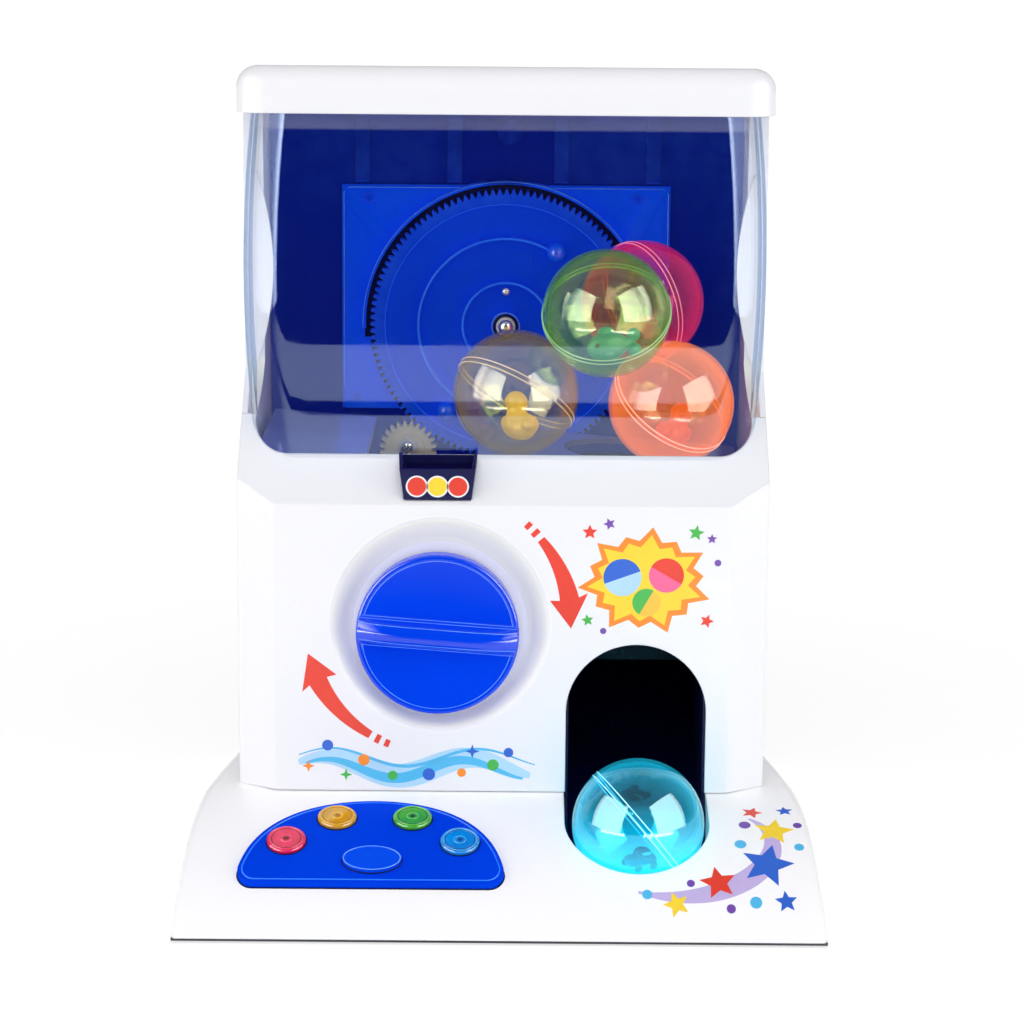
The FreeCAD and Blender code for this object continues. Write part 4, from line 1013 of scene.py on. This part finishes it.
BUTTONS = {
    "red": (-86.1, 22.2, RED_B, "red_key"),
    "yellow": (-66.5, 16.0, YEL_B, "yellow_key"),
    "green": (-35.8, 16.0, GRN_B, "green_key"),
    "blue": (-16.2, 22.2, BLU_B, "blue_key"),
}
DOT = {
    "red": plastic("red_dot", srgb(120, 8, 14), rough=0.25, vary=0.1, edge=0.0),
    "yellow": plastic("yellow_dot", srgb(176, 116, 0), rough=0.25, vary=0.1, edge=0.0),
    "green": plastic("green_dot", srgb(4, 84, 30), rough=0.25, vary=0.1, edge=0.0),
    "blue": plastic("blue_dot", srgb(0, 70, 150), rough=0.25, vary=0.1, edge=0.0),
}
for cname, (x, phi, mat, body) in BUTTONS.items():
    at, ex, ey, ez = button_frame(x, phi, 1.7)
    revolve(
        cname + "_button_centre",
        [(0.0, -0.25), (1.15, -0.25), (1.15, 0.03), (0.9, 0.1), (0.5, 0.16), (0.0, 0.18)],
        at,
        ex,
        ey,
        ez,
        DOT[cname],
        body,
        n=24,
    )
    # painted highlight: paler jelly rings on each button's top
    tubes(
        cname + "_button_beads",
        [ring_points(at + ez * 0.0, ez, 6.7), ring_points(at - ez * 0.05, ez, 2.3, n=28)],
        0.22,
        BEAD[cname],
        body,
    )
    tubes(
        cname + "_button_groove",
        [ring_points(at - ez * 0.12, ez, 5.9)],
        0.24,
        DOT[cname],
        body,
    )


# the half-moon's raised border line in painted highlight blue, and the painted shadow gap round it
MOON_X, MOON_Y, MOON_R, MOON_FRONT = -51.5, -121.5, 54.4, -116.3


def moon(inset, lift, step=3.0):
    """Outline of the half-moon panel, inset mm inside its edge, lift mm over the deck's curve."""
    r0, yl = MOON_R - inset, MOON_FRONT + inset
    rf = 6.0 - 0.6 * inset
    cy = yl + rf
    cx = math.sqrt((r0 - rf) ** 2 - (cy - MOON_Y) ** 2)
    th = math.degrees(math.atan2(cy - MOON_Y, cx))
    pts = []
    for i in range(9):
        a = math.radians(-90 + (90 + th) * i / 8.0)
        pts.append((MOON_X + cx + rf * math.cos(a), cy + rf * math.sin(a)))
    m = int((180 - 2 * th) / step)
    for i in range(1, m):
        a = math.radians(th + (180 - 2 * th) * i / m)
        pts.append((MOON_X + r0 * math.cos(a), MOON_Y + r0 * math.sin(a)))
    for i in range(9):
        a = math.radians(180 - th + (90 + th) * i / 8.0)
        pts.append((MOON_X - cx + rf * math.cos(a), cy + rf * math.sin(a)))
    for i in range(1, 16):
        pts.append((MOON_X - cx + 2 * cx * i / 16.0, yl))
    rad = 141.7 + lift
    return [(x, y, -103.5 + math.sqrt(rad**2 - (y + 41.54) ** 2)) for x, y in pts]


tubes("moon_border_bead", [moon(1.5, 1.86)], 0.36, RIB_HIGHLIGHT, "cabinet")
tubes("moon_edge_line", [moon(0.25, 1.75)], 0.2, RIB_HIGHLIGHT, "cabinet")
# painted shadow: dark navy lines round the half-moon, the oval button and each button stand in for the shadow in their
# gaps
tubes("moon_shadow_gap_line", [moon(-0.2, 0.0)], 0.3, GAP_SHADE, "cabinet")
at, ex, ey, ez = button_frame(-51.2, 26.6, 0.05)
tubes("oval_shadow_gap_line", [ring_points(at, ez, 7.15, rx=12.0)], 0.24, GAP_SHADE, "cabinet")
tubes(
    "button_shadow_gap_lines",
    [ring_points(button_frame(x, phi, 0.05)[0], button_frame(x, phi, 0.05)[3], 8.15) for x, phi, mat, body in BUTTONS.values()],
    0.22,
    GAP_SHADE,
    "cabinet",
)
# painted highlight line on the oval button's border
at, ex, ey, ez = button_frame(-51.2, 26.6, 1.6)
tubes("oval_border_bead", [ring_points(at, ez, 6.6, rx=11.4)], 0.3, CREST_HIGHLIGHT, "oval_key")

# ---------------------------------------------------------------- wheel and back plate details, with painted highlight lines and painted shadow rings and sheets
WX, WZ = 0.2, 214.0


def wheel_point(r, a):
    return (WX + r * math.cos(math.radians(a)), WZ + r * math.sin(math.radians(a)))


def arc_band(r0, r1, a0, a1, n=60):
    return [wheel_point(r1, a0 + (a1 - a0) * i / n) for i in range(n + 1)] + [
        wheel_point(r0, a1 + (a0 - a1) * i / n) for i in range(n + 1)
    ]


# painted shadow: a dark sheet on the pad in the gap between the wheel's teeth and the rail
slab(
    "wheel_gap_shade",
    [arc_band(56.8, 63.9, 20, 100), arc_band(56.8, 63.9, 100, 186), arc_band(56.8, 61.6, 186, 284), arc_band(56.8, 61.6, 284, 380)],
    GAP_SHADE,
    "cabinet",
    lambda u, v, h: (u, 94.86 if h > 0.5 else 95.05, v),
)
def arc_points(r, y, a0, a1, n=64):
    run = []
    for i in range(n + 1):
        x, z = wheel_point(r, a0 + (a1 - a0) * i / n)
        run.append((x, y, z))
    return run


# painted highlight: paler tubes along the crests of the wheel's ribs
tubes(
    "wheel_rib_crests",
    [
        arc_points(39.3, 84.95, 58.5, 235.5),
        arc_points(19.4, 85.5, -19.5, 219.5),
    ],
    0.62,
    RIB_HIGHLIGHT,
    "wheel",
    n=6,
    closed=False,
)
# painted highlight line along the pad's rounded edge
pad_edge = [(-72.9, 96.0, 184.0 + 4.0 * i) for i in range(22)]
pad_edge += [(-72.9 + 3.2 * (1 - math.cos(math.radians(9.0 * i))), 96.0, 271.7 + 3.2 * math.sin(math.radians(9.0 * i))) for i in range(11)]
pad_edge += [(-69.7 + 4.1 * i, 96.0, 274.9) for i in range(1, 34)]
pad_edge += [(69.7 + 3.2 * math.sin(math.radians(9.0 * i)), 96.0, 271.7 + 3.2 * math.cos(math.radians(9.0 * i))) for i in range(11)]
pad_edge += [(72.9, 96.0, 268.0 - 4.0 * i) for i in range(22)]
tubes("pad_edge_line", [pad_edge], 0.26, CREST_HIGHLIGHT, "cabinet", n=6, closed=False)
# painted highlight lines along the wheel's tooth-ring step and the rail's crest
tubes("tooth_ring_step", [ring_points((WX, 87.1, WZ), (0, -1, 0), 54.4, n=160)], 0.16, RIB_HIGHLIGHT, "wheel", n=6)
tubes("rail_crest", [arc_points(64.35, 89.1, 35.5, 181.5)], 0.22, CREST_HIGHLIGHT, "cabinet", n=6, closed=False)
tubes(
    "wheel_ejector_marks",
    [
        ring_points((*wheel_point(r, a)[:1], 88.2, wheel_point(r, a)[1]), (0, -1, 0), 2.9, n=24)
        for r, a in ((47, 106), (49, 57), (46.5, 147), (47, 196), (47, 330), (47, 12), (32, 118), (30, 74), (31, 200), (31, 320), (12.6, 53), (13, 172))
    ],
    0.13,
    WHEEL,
    "wheel",
    n=6,
)
tubes(
    "pad_ejector_marks",
    [ring_points((x, 95.0, z), (0, -1, 0), r, n=24) for x, z, r in ((-51.4, 263.5, 3.2), (53.4, 263.0, 4.0), (-66.5, 222.0, 2.6), (-66.5, 196.0, 2.6), (66.5, 200.0, 2.6), (-52.0, 184.0, 3.0))],
    0.13,
    WALL,
    "cabinet",
    n=6,
)
revolve(
    "wheel_rivet",
    [(0.0, -0.4), (1.7, -0.4), (1.7, 0.2), (1.45, 0.55), (0.9, 0.85), (0.0, 0.95)],
    Vector((WX, 86.4, WZ + 15.4)),
    Vector((1, 0, 0)),
    Vector((0, 0, 1)),
    Vector((0, -1, 0)),
    STEEL,
    "wheel",
    n=24,
)

# painted highlight ring on the hub's crest and painted shadow ring in the hub's recess
tubes("hub_crest", [ring_points((WX, 83.0, WZ), (0, -1, 0), 6.2, n=40)], 0.32, CREST_HIGHLIGHT, "wheel")
tubes("hub_recess_shade_ring", [ring_points((WX, 82.95, WZ), (0, -1, 0), 5.1, n=40)], 0.62, GAP_SHADE, "wheel")
DOME = [(0.0, -0.6), (1.0, -0.6), (1.0, 0.0), (0.98, 0.12), (0.9, 0.3), (0.75, 0.47), (0.55, 0.6), (0.3, 0.68), (0.0, 0.7)]
for name, at, r, body in (
    ("wheel_screw_dome", (WX, 81.1, WZ), 3.3, "cabinet"),
    ("bracket_screw_dome_upper", (-43.68, 81.3, 159.2), 2.65, "cabinet"),
    ("bracket_screw_dome_lower", (-43.68, 81.3, 154.2), 2.65, "cabinet"),
):
    revolve(name, [(q * r, h * r) for q, h in DOME], Vector(at), Vector((1, 0, 0)), Vector((0, 0, 1)), Vector((0, -1, 0)), CHROME, body, n=32)

PEG = [(0.0, -1.2), (1.0, -1.2), (1.0, -0.5), (0.97, -0.26), (0.87, 0.0), (0.7, 0.22), (0.5, 0.37), (0.25, 0.46), (0.0, 0.5)]
for name, px, pz in (("wheel_peg_upper", 22.4, 33.3), ("wheel_peg_lower", -26.7, -39.0)):
    revolve(
        name, [(q * 4.06, h * 4.06) for q, h in PEG], Vector((WX + px, 81.85, WZ + pz)), Vector((1, 0, 0)), Vector((0, 0, 1)), Vector((0, -1, 0)),
        PEG_BLUE, "wheel", n=36,
    )

# ---------------------------------------------------------------- capsule seams
SEAM_R = 27.05
CAPSULE_AT = {
    "yellow": ((5.1, 9.0, 196.0), (0.45, 0.39, 0.80)),
    "orange": ((71.5, 15.0, 191.0), (0.48, -0.44, 0.76)),
    "green": ((42.6, -5.5, 232.4), (-0.09, -0.65, 0.75)),
    "magenta": ((60.0, 51.5, 229.8), (0.81, 0.54, 0.22)),
    "blue": ((55.9, -84.0, 34.1), (0.757, 0.196, 0.624)),
}
for cname, (c, d) in CAPSULE_AT.items():
    c, d = Vector(c), Vector(d).normalized()
    tubes(
        cname + "_capsule_seam",
        [ring_points(c + d * 1.1, d, SEAM_R, n=72), ring_points(c - d * 1.1, d, SEAM_R, n=72)],
        0.24,
        SEAM[cname],
        "capsule" if cname == "blue" else "cabinet",
        n=6,
    )

# ---------------------------------------------------------------- white cheeks beside the hopper, seen through the window's sides
def cheek(sign, n=28):
    edge = []
    for i in range(n + 1):
        q = 2.0 * i / n - 1.0
        edge.append((sign * (103.9 - 6.6 * (1.0 - q * q)), 250.0 + 40.0 * q))
    return edge + [(sign * 104.6, 290.0), (sign * 104.6, 210.0)]


slab("hopper_cheeks", [cheek(-1.0), cheek(1.0)], WHITE, "cabinet", lambda u, v, h: (u, 0.9 if h > 0.5 else 1.9, v))


def cheek_tail(sign, n=20):
    edge = []
    for i in range(n + 1):
        q = i / n
        edge.append((sign * (101.2 + 5.6 * q ** 1.6), 212.0 - 32.0 * q))
    return edge + [(sign * 109.0, 180.0), (sign * 109.0, 212.0)]


slab("cheek_tails", [cheek_tail(-1.0), cheek_tail(1.0)], WHITE_SOFT, "cabinet", lambda u, v, h: (u, 1.78 if h > 0.5 else 1.97, v))

# ---------------------------------------------------------------- coin funnel: a painted shade sheet in its mouth and a row of coins
def on_funnel(level):
    return lambda u, v, h: (u, -52.1 - level - (0.06 if h > 0.5 else -0.04), v)


COINS = (-35.2, -26.8, -18.4)
slab("coin_row_edge", [disc(x, 167.0, 4.5, n=36) for x in COINS], INK["white"], "cabinet", on_funnel(0.0))
slab("coin_row_red", [disc(x, 167.0, 3.8, n=36) for x in COINS[::2]], INK["red"], "cabinet", on_funnel(0.07))
slab("coin_row_yellow", [disc(COINS[1], 167.0, 3.8, n=36)], INK["yellow"], "cabinet", on_funnel(0.07))
# painted shade: a dark navy sheet closes the funnel's mouth, standing in for its shadowed inside
slab(
    "funnel_mouth_shade_liner",
    [[(-41.6, 173.4), (-11.8, 173.4), (-11.2, 176.4), (-11.7, 177.0), (-12.4, 177.2), (-41.0, 177.2), (-41.8, 177.0), (-42.2, 176.4)]],
    FUNNEL,
    "cabinet",
    lambda u, v, h: (u, -36.25 if h > 0.5 else -35.35, v),
)

# ---------------------------------------------------------------- knob well: soft bowl from the panel down to the knob
verts, faces = [], []
NT, NA = 18, 144
RUN = [(36.0, -45.7, 0.0)]
for t in range(NT - 1):
    q = t / (NT - 2)
    RUN.append((36.4 + 9.6 * q, -53.02 + 6.97 * (1.0 - q * q * (3.0 - 2.0 * q)), q))
RUN.append((46.4, -52.7, 1.0))
for side in (0, 1):
    for r, y, q in RUN:
        for i in range(NA):
            a = 2 * math.pi * i / NA
            verts.append((-25.7 + r * math.cos(a), y + 0.03 * side, 106.8 + 2.3 * q + r * math.sin(a)))
for side in (0, 1):
    first = side * (NT + 1) * NA
    for t in range(NT):
        for i in range(NA):
            j = (i + 1) % NA
            faces.append((first + t * NA + i, first + t * NA + j, first + (t + 1) * NA + j, first + (t + 1) * NA + i))
for t in (0, NT):
    for i in range(NA):
        j = (i + 1) % NA
        a, b = t * NA + i, t * NA + j
        faces.append((a, b, b + (NT + 1) * NA, a + (NT + 1) * NA))
add("knob_well_bowl", verts, faces, WHITE_SOFT, "cabinet")

# ---------------------------------------------------------------- knob: disc with a rolled rim and an arched grip bar
KX, KZ = -26.6, 105.0
knob_disc = revolve(
    "knob_disc",
    [
        (0.0, 0.9), (30.7, 0.9), (31.2, 1.0), (31.8, 1.25), (32.4, 1.35), (33.0, 1.15), (33.4, 0.75), (33.62, 0.2), (33.7, -0.5),
        (33.7, -6.0), (31.4, -6.0), (31.2, -5.6), (31.2, -1.2), (8.5, -1.2), (8.5, -6.0), (4.1, -6.0), (4.1, 0.3), (0.0, 0.3),
    ],
    Vector((KX, -53.0, KZ)),
    Vector((1, 0, 0)),
    Vector((0, 0, 1)),
    Vector((0, -1, 0)),
    KNOB,
    "knob",
    n=160,
)
BAR = [(0.0, 6.6), (0.8, 6.55), (1.6, 6.4), (2.4, 6.2), (3.2, 5.9), (3.8, 5.4), (4.3, 4.6), (4.7, 3.4), (5.1, 2.3), (5.5, 1.5), (6.1, 0.7), (6.6, 0.1), (7.0, -0.5)]
BAR = [(-z, h) for z, h in BAR[:0:-1]] + BAR
kt = math.radians(4.2)
verts, faces = [], []
NU = 64
for side in (0, 1):
    for z, h in BAR:
        half = math.sqrt(33.0**2 - z * z)
        for i in range(NU + 1):
            x = half * (2.0 * i / NU - 1.0)
            fall = 1.0 - 0.72 * (max(0.0, abs(x) - 12.0) / 21.5) ** 2
            y = -53.9 - (h * fall if side == 0 else -0.7)
            verts.append((KX + x * math.cos(kt) + z * math.sin(kt), y, KZ - x * math.sin(kt) + z * math.cos(kt)))
NR, NC = len(BAR), NU + 1
for side in (0, 1):
    base = side * NR * NC
    for r in range(NR - 1):
        for c in range(NC - 1):
            a = base + r * NC + c
            faces.append((a, a + 1, a + NC + 1, a + NC))
edge = [(0, c) for c in range(NC)] + [(r, NC - 1) for r in range(1, NR)] + [(NR - 1, c) for c in range(NC - 2, -1, -1)] + [(r, 0) for r in range(NR - 2, 0, -1)]
for (r0, c0), (r1, c1) in zip(edge, edge[1:] + edge[:1]):
    a, b = r0 * NC + c0, r1 * NC + c1
    faces.append((a, b, b + NR * NC, a + NR * NC))
knob_bar = add("knob_grip_bar", verts, faces, KNOB, "knob")
knob_bar.data.set_sharp_from_angle(angle=math.radians(50))
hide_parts("knob")
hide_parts("knob")


def bar_run(z, h, out=0.05):
    half = math.sqrt(33.0**2 - z * z) - 0.3
    run = []
    for i in range(NU + 1):
        x = half * (2.0 * i / NU - 1.0)
        fall = 1.0 - 0.72 * (max(0.0, abs(x) - 12.0) / 21.5) ** 2
        run.append((KX + x * math.cos(kt) + z * math.sin(kt), -53.9 - h * fall - out, KZ - x * math.sin(kt) + z * math.cos(kt)))
    return run


# painted highlight lines along the grip bar's edges and the knob's rim
tubes("knob_bar_lines", [bar_run(6.2, 0.6), bar_run(5.3, 1.9), bar_run(3.6, 5.6), bar_run(-3.6, 5.6), bar_run(-6.2, 0.6)], 0.16, CREST_HIGHLIGHT, "knob", n=6, closed=False)
tubes("knob_rim_line", [ring_points((KX, -53.0 - 1.02, KZ), (0, -1, 0), 31.2, n=140)], 0.16, CREST_HIGHLIGHT, "knob", n=6)

# ---------------------------------------------------------------- prize toys: smooth little figures
def figure(name, parts, mat, body, at, up, turn, voxel=0.55, size=1.0):
    """parts: (centre, radii) ellipsoids in a small figure's own frame (mm, +Z up, facing -Y), fused to one smooth skin."""
    up = Vector(up).normalized()
    side = up.cross(Vector((0, 1, 0)))
    if side.length < 1e-3:
        side = Vector((1, 0, 0))
    side.normalize()
    fwd = up.cross(side)
    rot = Matrix((side, fwd, up)).transposed() @ Matrix.Rotation(math.radians(turn), 3, "Z")
    bm = bmesh.new()
    for c, r in parts:
        m4 = Matrix.Translation(Vector(c)) @ Matrix.Diagonal((r[0], r[1], r[2], 1.0))
        bmesh.ops.create_icosphere(bm, subdivisions=3, radius=1.0, matrix=m4)
    me = bpy.data.meshes.new(name)
    bm.to_mesh(me)
    bm.free()
    o = bpy.data.objects.new(name, me)
    bpy.context.scene.collection.objects.link(o)
    rm = o.modifiers.new("skin", "REMESH")
    rm.mode = "VOXEL"
    rm.voxel_size = voxel
    sm = o.modifiers.new("soft", "SMOOTH")
    sm.factor = 0.5
    sm.iterations = 5
    bake_modifiers(o)
    me = o.data
    for v in me.vertices:
        v.co = (rot @ (v.co * size) + Vector(at)) * MM
    for p in me.polygons:
        p.use_smooth = True
    me.materials.clear()
    me.materials.append(mat)
    me.update()
    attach(o, body)
    return o


def duck(tag, at, up, turn, size, mat, beak, body):
    a = figure(
        tag + "_duck",
        [
            ((0, 2, 0), (7.2, 9.0, 6.0)),
            ((0, 10, 3.0), (3.0, 3.6, 2.6)),
            ((0, -3.5, 8.8), (5.0, 5.0, 4.8)),
            ((0, -1.5, 4.5), (4.4, 4.4, 4.0)),
            ((6.0, 2.5, 1.0), (1.8, 5.2, 3.4)),
            ((-6.0, 2.5, 1.0), (1.8, 5.2, 3.4)),
        ],
        mat,
        body,
        at,
        up,
        turn,
        size=size,
    )
    b = figure(tag + "_duck_bill", [((0, -9.0, 8.2), (2.6, 2.6, 1.0)), ((0, -8.2, 7.4), (2.0, 2.0, 0.9))], beak, body, at, up, turn, size=size, voxel=0.35)
    c = figure(
        tag + "_duck_eyes",
        [((2.5, -7.2, 10.4), (0.8, 0.7, 0.9)), ((-2.5, -7.2, 10.4), (0.8, 0.7, 0.9))],
        TOY["black"],
        body,
        at,
        up,
        turn,
        size=size,
        voxel=0.2,
    )
    return [a, b, c]


def fish(tag, at, up, turn, size, mat, fin, body):
    a = figure(
        tag + "_fish",
        [((0, 0, 0), (10.0, 5.0, 7.0)), ((-8.5, 0, 0), (4.0, 3.0, 3.2))],
        mat,
        body,
        at,
        up,
        turn,
        size=size,
    )
    b = figure(
        tag + "_fish_fins",
        [
            ((-13.0, 0, 3.6), (3.4, 1.6, 3.4)),
            ((-13.0, 0, -3.6), (3.4, 1.6, 3.4)),
            ((-11.5, 0, 0), (2.4, 1.8, 2.4)),
            ((0.5, 0, 7.0), (4.2, 1.6, 2.6)),
            ((1.0, -5.0, -2.4), (2.6, 1.4, 1.8)),
            ((1.0, 5.0, -2.4), (2.6, 1.4, 1.8)),
        ],
        fin,
        body,
        at,
        up,
        turn,
        size=size,
        voxel=0.45,
    )
    c = figure(
        tag + "_fish_eyes",
        [((6.0, -3.9, 2.2), (1.1, 0.9, 1.1)), ((6.0, 3.9, 2.2), (1.1, 0.9, 1.1))],
        TOY["black"],
        body,
        at,
        up,
        turn,
        size=size,
        voxel=0.25,
    )
    return [a, b, c]


def car(tag, at, up, turn, size, mat, glass, body):
    a = figure(
        tag + "_car",
        [
            ((-5, 0, 0), (6.0, 6.2, 3.4)),
            ((5, 0, 0), (6.0, 6.2, 3.4)),
            ((0, 0, 0), (8.0, 6.4, 3.4)),
            ((-1.0, 0, 4.0), (5.6, 5.0, 3.4)),
        ],
        mat,
        body,
        at,
        up,
        turn,
        size=size,
    )
    b = figure(tag + "_car_glass", [((-1.0, 0, 4.6), (5.0, 5.3, 1.9))], glass, body, at, up, turn, size=size, voxel=0.4)
    c = figure(
        tag + "_car_wheels",
        [((sx * 6.0, sy * 5.8, -2.6), (2.7, 1.4, 2.7)) for sx in (-1, 1) for sy in (-1, 1)],
        TOY["black"],
        body,
        at,
        up,
        turn,
        size=size,
        voxel=0.4,
    )
    return [a, b, c]


toys = []
toys += duck("yellow", (5.6, 8.0, 182.6), (0.1, -0.1, 0.98), 25, 1.0, TOY["yellow"], TOY["orange"], "cabinet")
toys += duck("orange", (73.5, 13.0, 178.6), (0.1, -0.1, 0.98), -30, 0.95, TOY["orange"], TOY["yellow"], "cabinet")
toys += fish("green", (43.2, -6.5, 218.6), (-0.1, -0.1, 0.98), 15, 0.9, TOY["teal"], TOY["teal"], "cabinet")
toys += car("magenta", (60.5, 51.0, 217.0), (0.2, 0.1, 0.96), 30, 0.95, TOY["pink"], TOY["white"], "cabinet")
for o in toys[:1]:
    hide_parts("prize_toys")
blue_toys = car("blue", (57.0, -83.0, 19.0), (0.1, -0.05, 0.98), 40, 0.7, TOY["navy"], TOY["aqua"], "capsule")
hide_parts("blue_toy")

# ---------------------------------------------------------------- smooth shading on carried-over nodes
for nm, o in NODES.items():
    if o.type == "MESH":
        for p in o.data.polygons:
            p.use_smooth = True
        o.data.set_sharp_from_angle(angle=math.radians(28))

# ---------------------------------------------------------------- studio
k = Mat("floor_white")
fp = k.n("ShaderNodeBsdfPrincipled")
k.link(
    k.mix(k.ranged(k.noise(1.3, 2.0).outputs["Fac"], 0.0, 1.0), (0.39, 0.39, 0.395, 1.0), (0.41, 0.41, 0.412, 1.0)),
    fp.inputs["Base Color"],
)
fp.inputs["Roughness"].default_value = 0.6
fp.inputs["Specular IOR Level"].default_value = 0.2
fp.inputs["Emission Color"].default_value = (1, 1, 1, 1)
depth = k.n("ShaderNodeSeparateXYZ")
k.link(k.tc.outputs["Object"], depth.inputs[0])
k.link(k.ranged(depth.outputs["Y"], 0.68, 0.93, -0.1, 1.4), fp.inputs["Emission Strength"])
k.link(fp.outputs[0], k.out.inputs["Surface"])


def ground(name, y0, y1, half):
    me = bpy.data.meshes.new(name)
    me.from_pydata([(-half, y0, -0.0001), (half, y0, -0.0001), (half, y1, -0.0001), (-half, y1, -0.0001)], [], [(0, 1, 2, 3)])
    me.materials.append(k.m)
    o = bpy.data.objects.new(name, me)
    bpy.context.scene.collection.objects.link(o)


ground("floor", -0.815, 26.0, 9.0)
ground("floor_front", -1.25, -0.885, 2.0)

world = bpy.data.worlds.new("studio")
bpy.context.scene.world = world
world.use_nodes = True
wt = world.node_tree
wt.nodes.clear()
wo = wt.nodes.new("ShaderNodeOutputWorld")
bg = wt.nodes.new("ShaderNodeBackground")
tcw = wt.nodes.new("ShaderNodeTexCoord")
sep = wt.nodes.new("ShaderNodeSeparateXYZ")
wt.links.new(tcw.outputs["Generated"], sep.inputs[0])


def smooth_range(src, a, b):
    mr = wt.nodes.new("ShaderNodeMapRange")
    mr.interpolation_type = "SMOOTHSTEP"
    mr.inputs["From Min"].default_value = a
    mr.inputs["From Max"].default_value = b
    wt.links.new(src, mr.inputs["Value"])
    return mr.outputs["Result"]


up_f = smooth_range(sep.outputs["Z"], 0.1, 0.6)
back_f = smooth_range(sep.outputs["Y"], -0.15, 0.5)
mx = wt.nodes.new("ShaderNodeMath")
mx.operation = "MAXIMUM"
wt.links.new(up_f, mx.inputs[0])
wt.links.new(back_f, mx.inputs[1])
mixw = wt.nodes.new("ShaderNodeMix")
mixw.data_type = "RGBA"
wt.links.new(mx.outputs[0], mixw.inputs[0])
mixw.inputs[6].default_value = (0.02, 0.022, 0.028, 1.0)
mixw.inputs[7].default_value = (1.0, 1.0, 1.02, 1.0)
wt.links.new(mixw.outputs[2], bg.inputs["Color"])
bg.inputs["Strength"].default_value = 0.30
wt.links.new(bg.outputs[0], wo.inputs["Surface"])


def softbox(name, at, target, w, h, power, col=(1, 1, 1), mirrored=True, lights=True):
    d = bpy.data.lights.new(name, "AREA")
    d.shape = "RECTANGLE"
    d.size = w
    d.size_y = h
    d.energy = power
    d.color = col
    o = bpy.data.objects.new(name, d)
    bpy.context.scene.collection.objects.link(o)
    o.location = at
    o.rotation_euler = (Vector(target) - Vector(at)).to_track_quat("-Z", "Y").to_euler()
    o.visible_glossy = mirrored
    o.visible_diffuse = lights
    return o


softbox("softbox_left", (-1.05, -0.52, 0.37), (0, -0.02, 0.22), 1.15, 0.72, 4.2, mirrored=False)
softbox("softbox_right", (1.05, -0.50, 0.37), (0, -0.02, 0.22), 1.05, 0.72, 3.9, mirrored=False)
softbox("softbox_front", (0.0, -1.55, 0.72), (0, 0.0, 0.2), 1.0, 0.5, 3.2, mirrored=False)
softbox("softbox_top", (0.0, -0.75, 1.32), (0, -0.05, 0.1), 1.2, 0.9, 8.5, mirrored=False)
softbox("card_left", (-0.967, -0.62, 0.58), (0, -0.02, 0.24), 1.4, 1.15, 38.0, lights=False)
softbox("card_right", (0.967, -0.60, 0.58), (0, -0.02, 0.24), 1.3, 1.15, 35.0, lights=False)
softbox("card_low_left", (-0.29, -0.40, 0.018), (-0.05, -0.06, 0.03), 0.36, 0.032, 0.42, lights=False)
softbox("card_low_right", (0.25, -0.40, 0.018), (0.0, -0.06, 0.03), 0.36, 0.032, 0.42, lights=False)

# ---------------------------------------------------------------- camera
cam_d = bpy.data.cameras.new("camera")
cam_d.sensor_fit = "HORIZONTAL"
cam_d.sensor_width = 36.0
cam_d.lens = 3000.0 / 1024.0 * 36.0
cam_d.clip_start = 0.05
cam_d.clip_end = 60.0
cam = bpy.data.objects.new("camera", cam_d)
bpy.context.scene.collection.objects.link(cam)
cam.matrix_world = (
    Matrix.Translation((0.0037, -1.253, 0.401))
    @ Matrix.Rotation(math.radians(90.0 - 11.5), 4, "X")
    @ Matrix.Rotation(math.radians(0.45), 4, "Z")
)
bpy.context.scene.camera = cam

sc = bpy.context.scene
sc.view_settings.view_transform = "Standard"
sc.view_settings.look = "None"
sc.view_settings.exposure = 0.0
sc.view_settings.gamma = 1.0
sc.cycles.transparent_max_bounces = 40
sc.cycles.max_bounces = 14
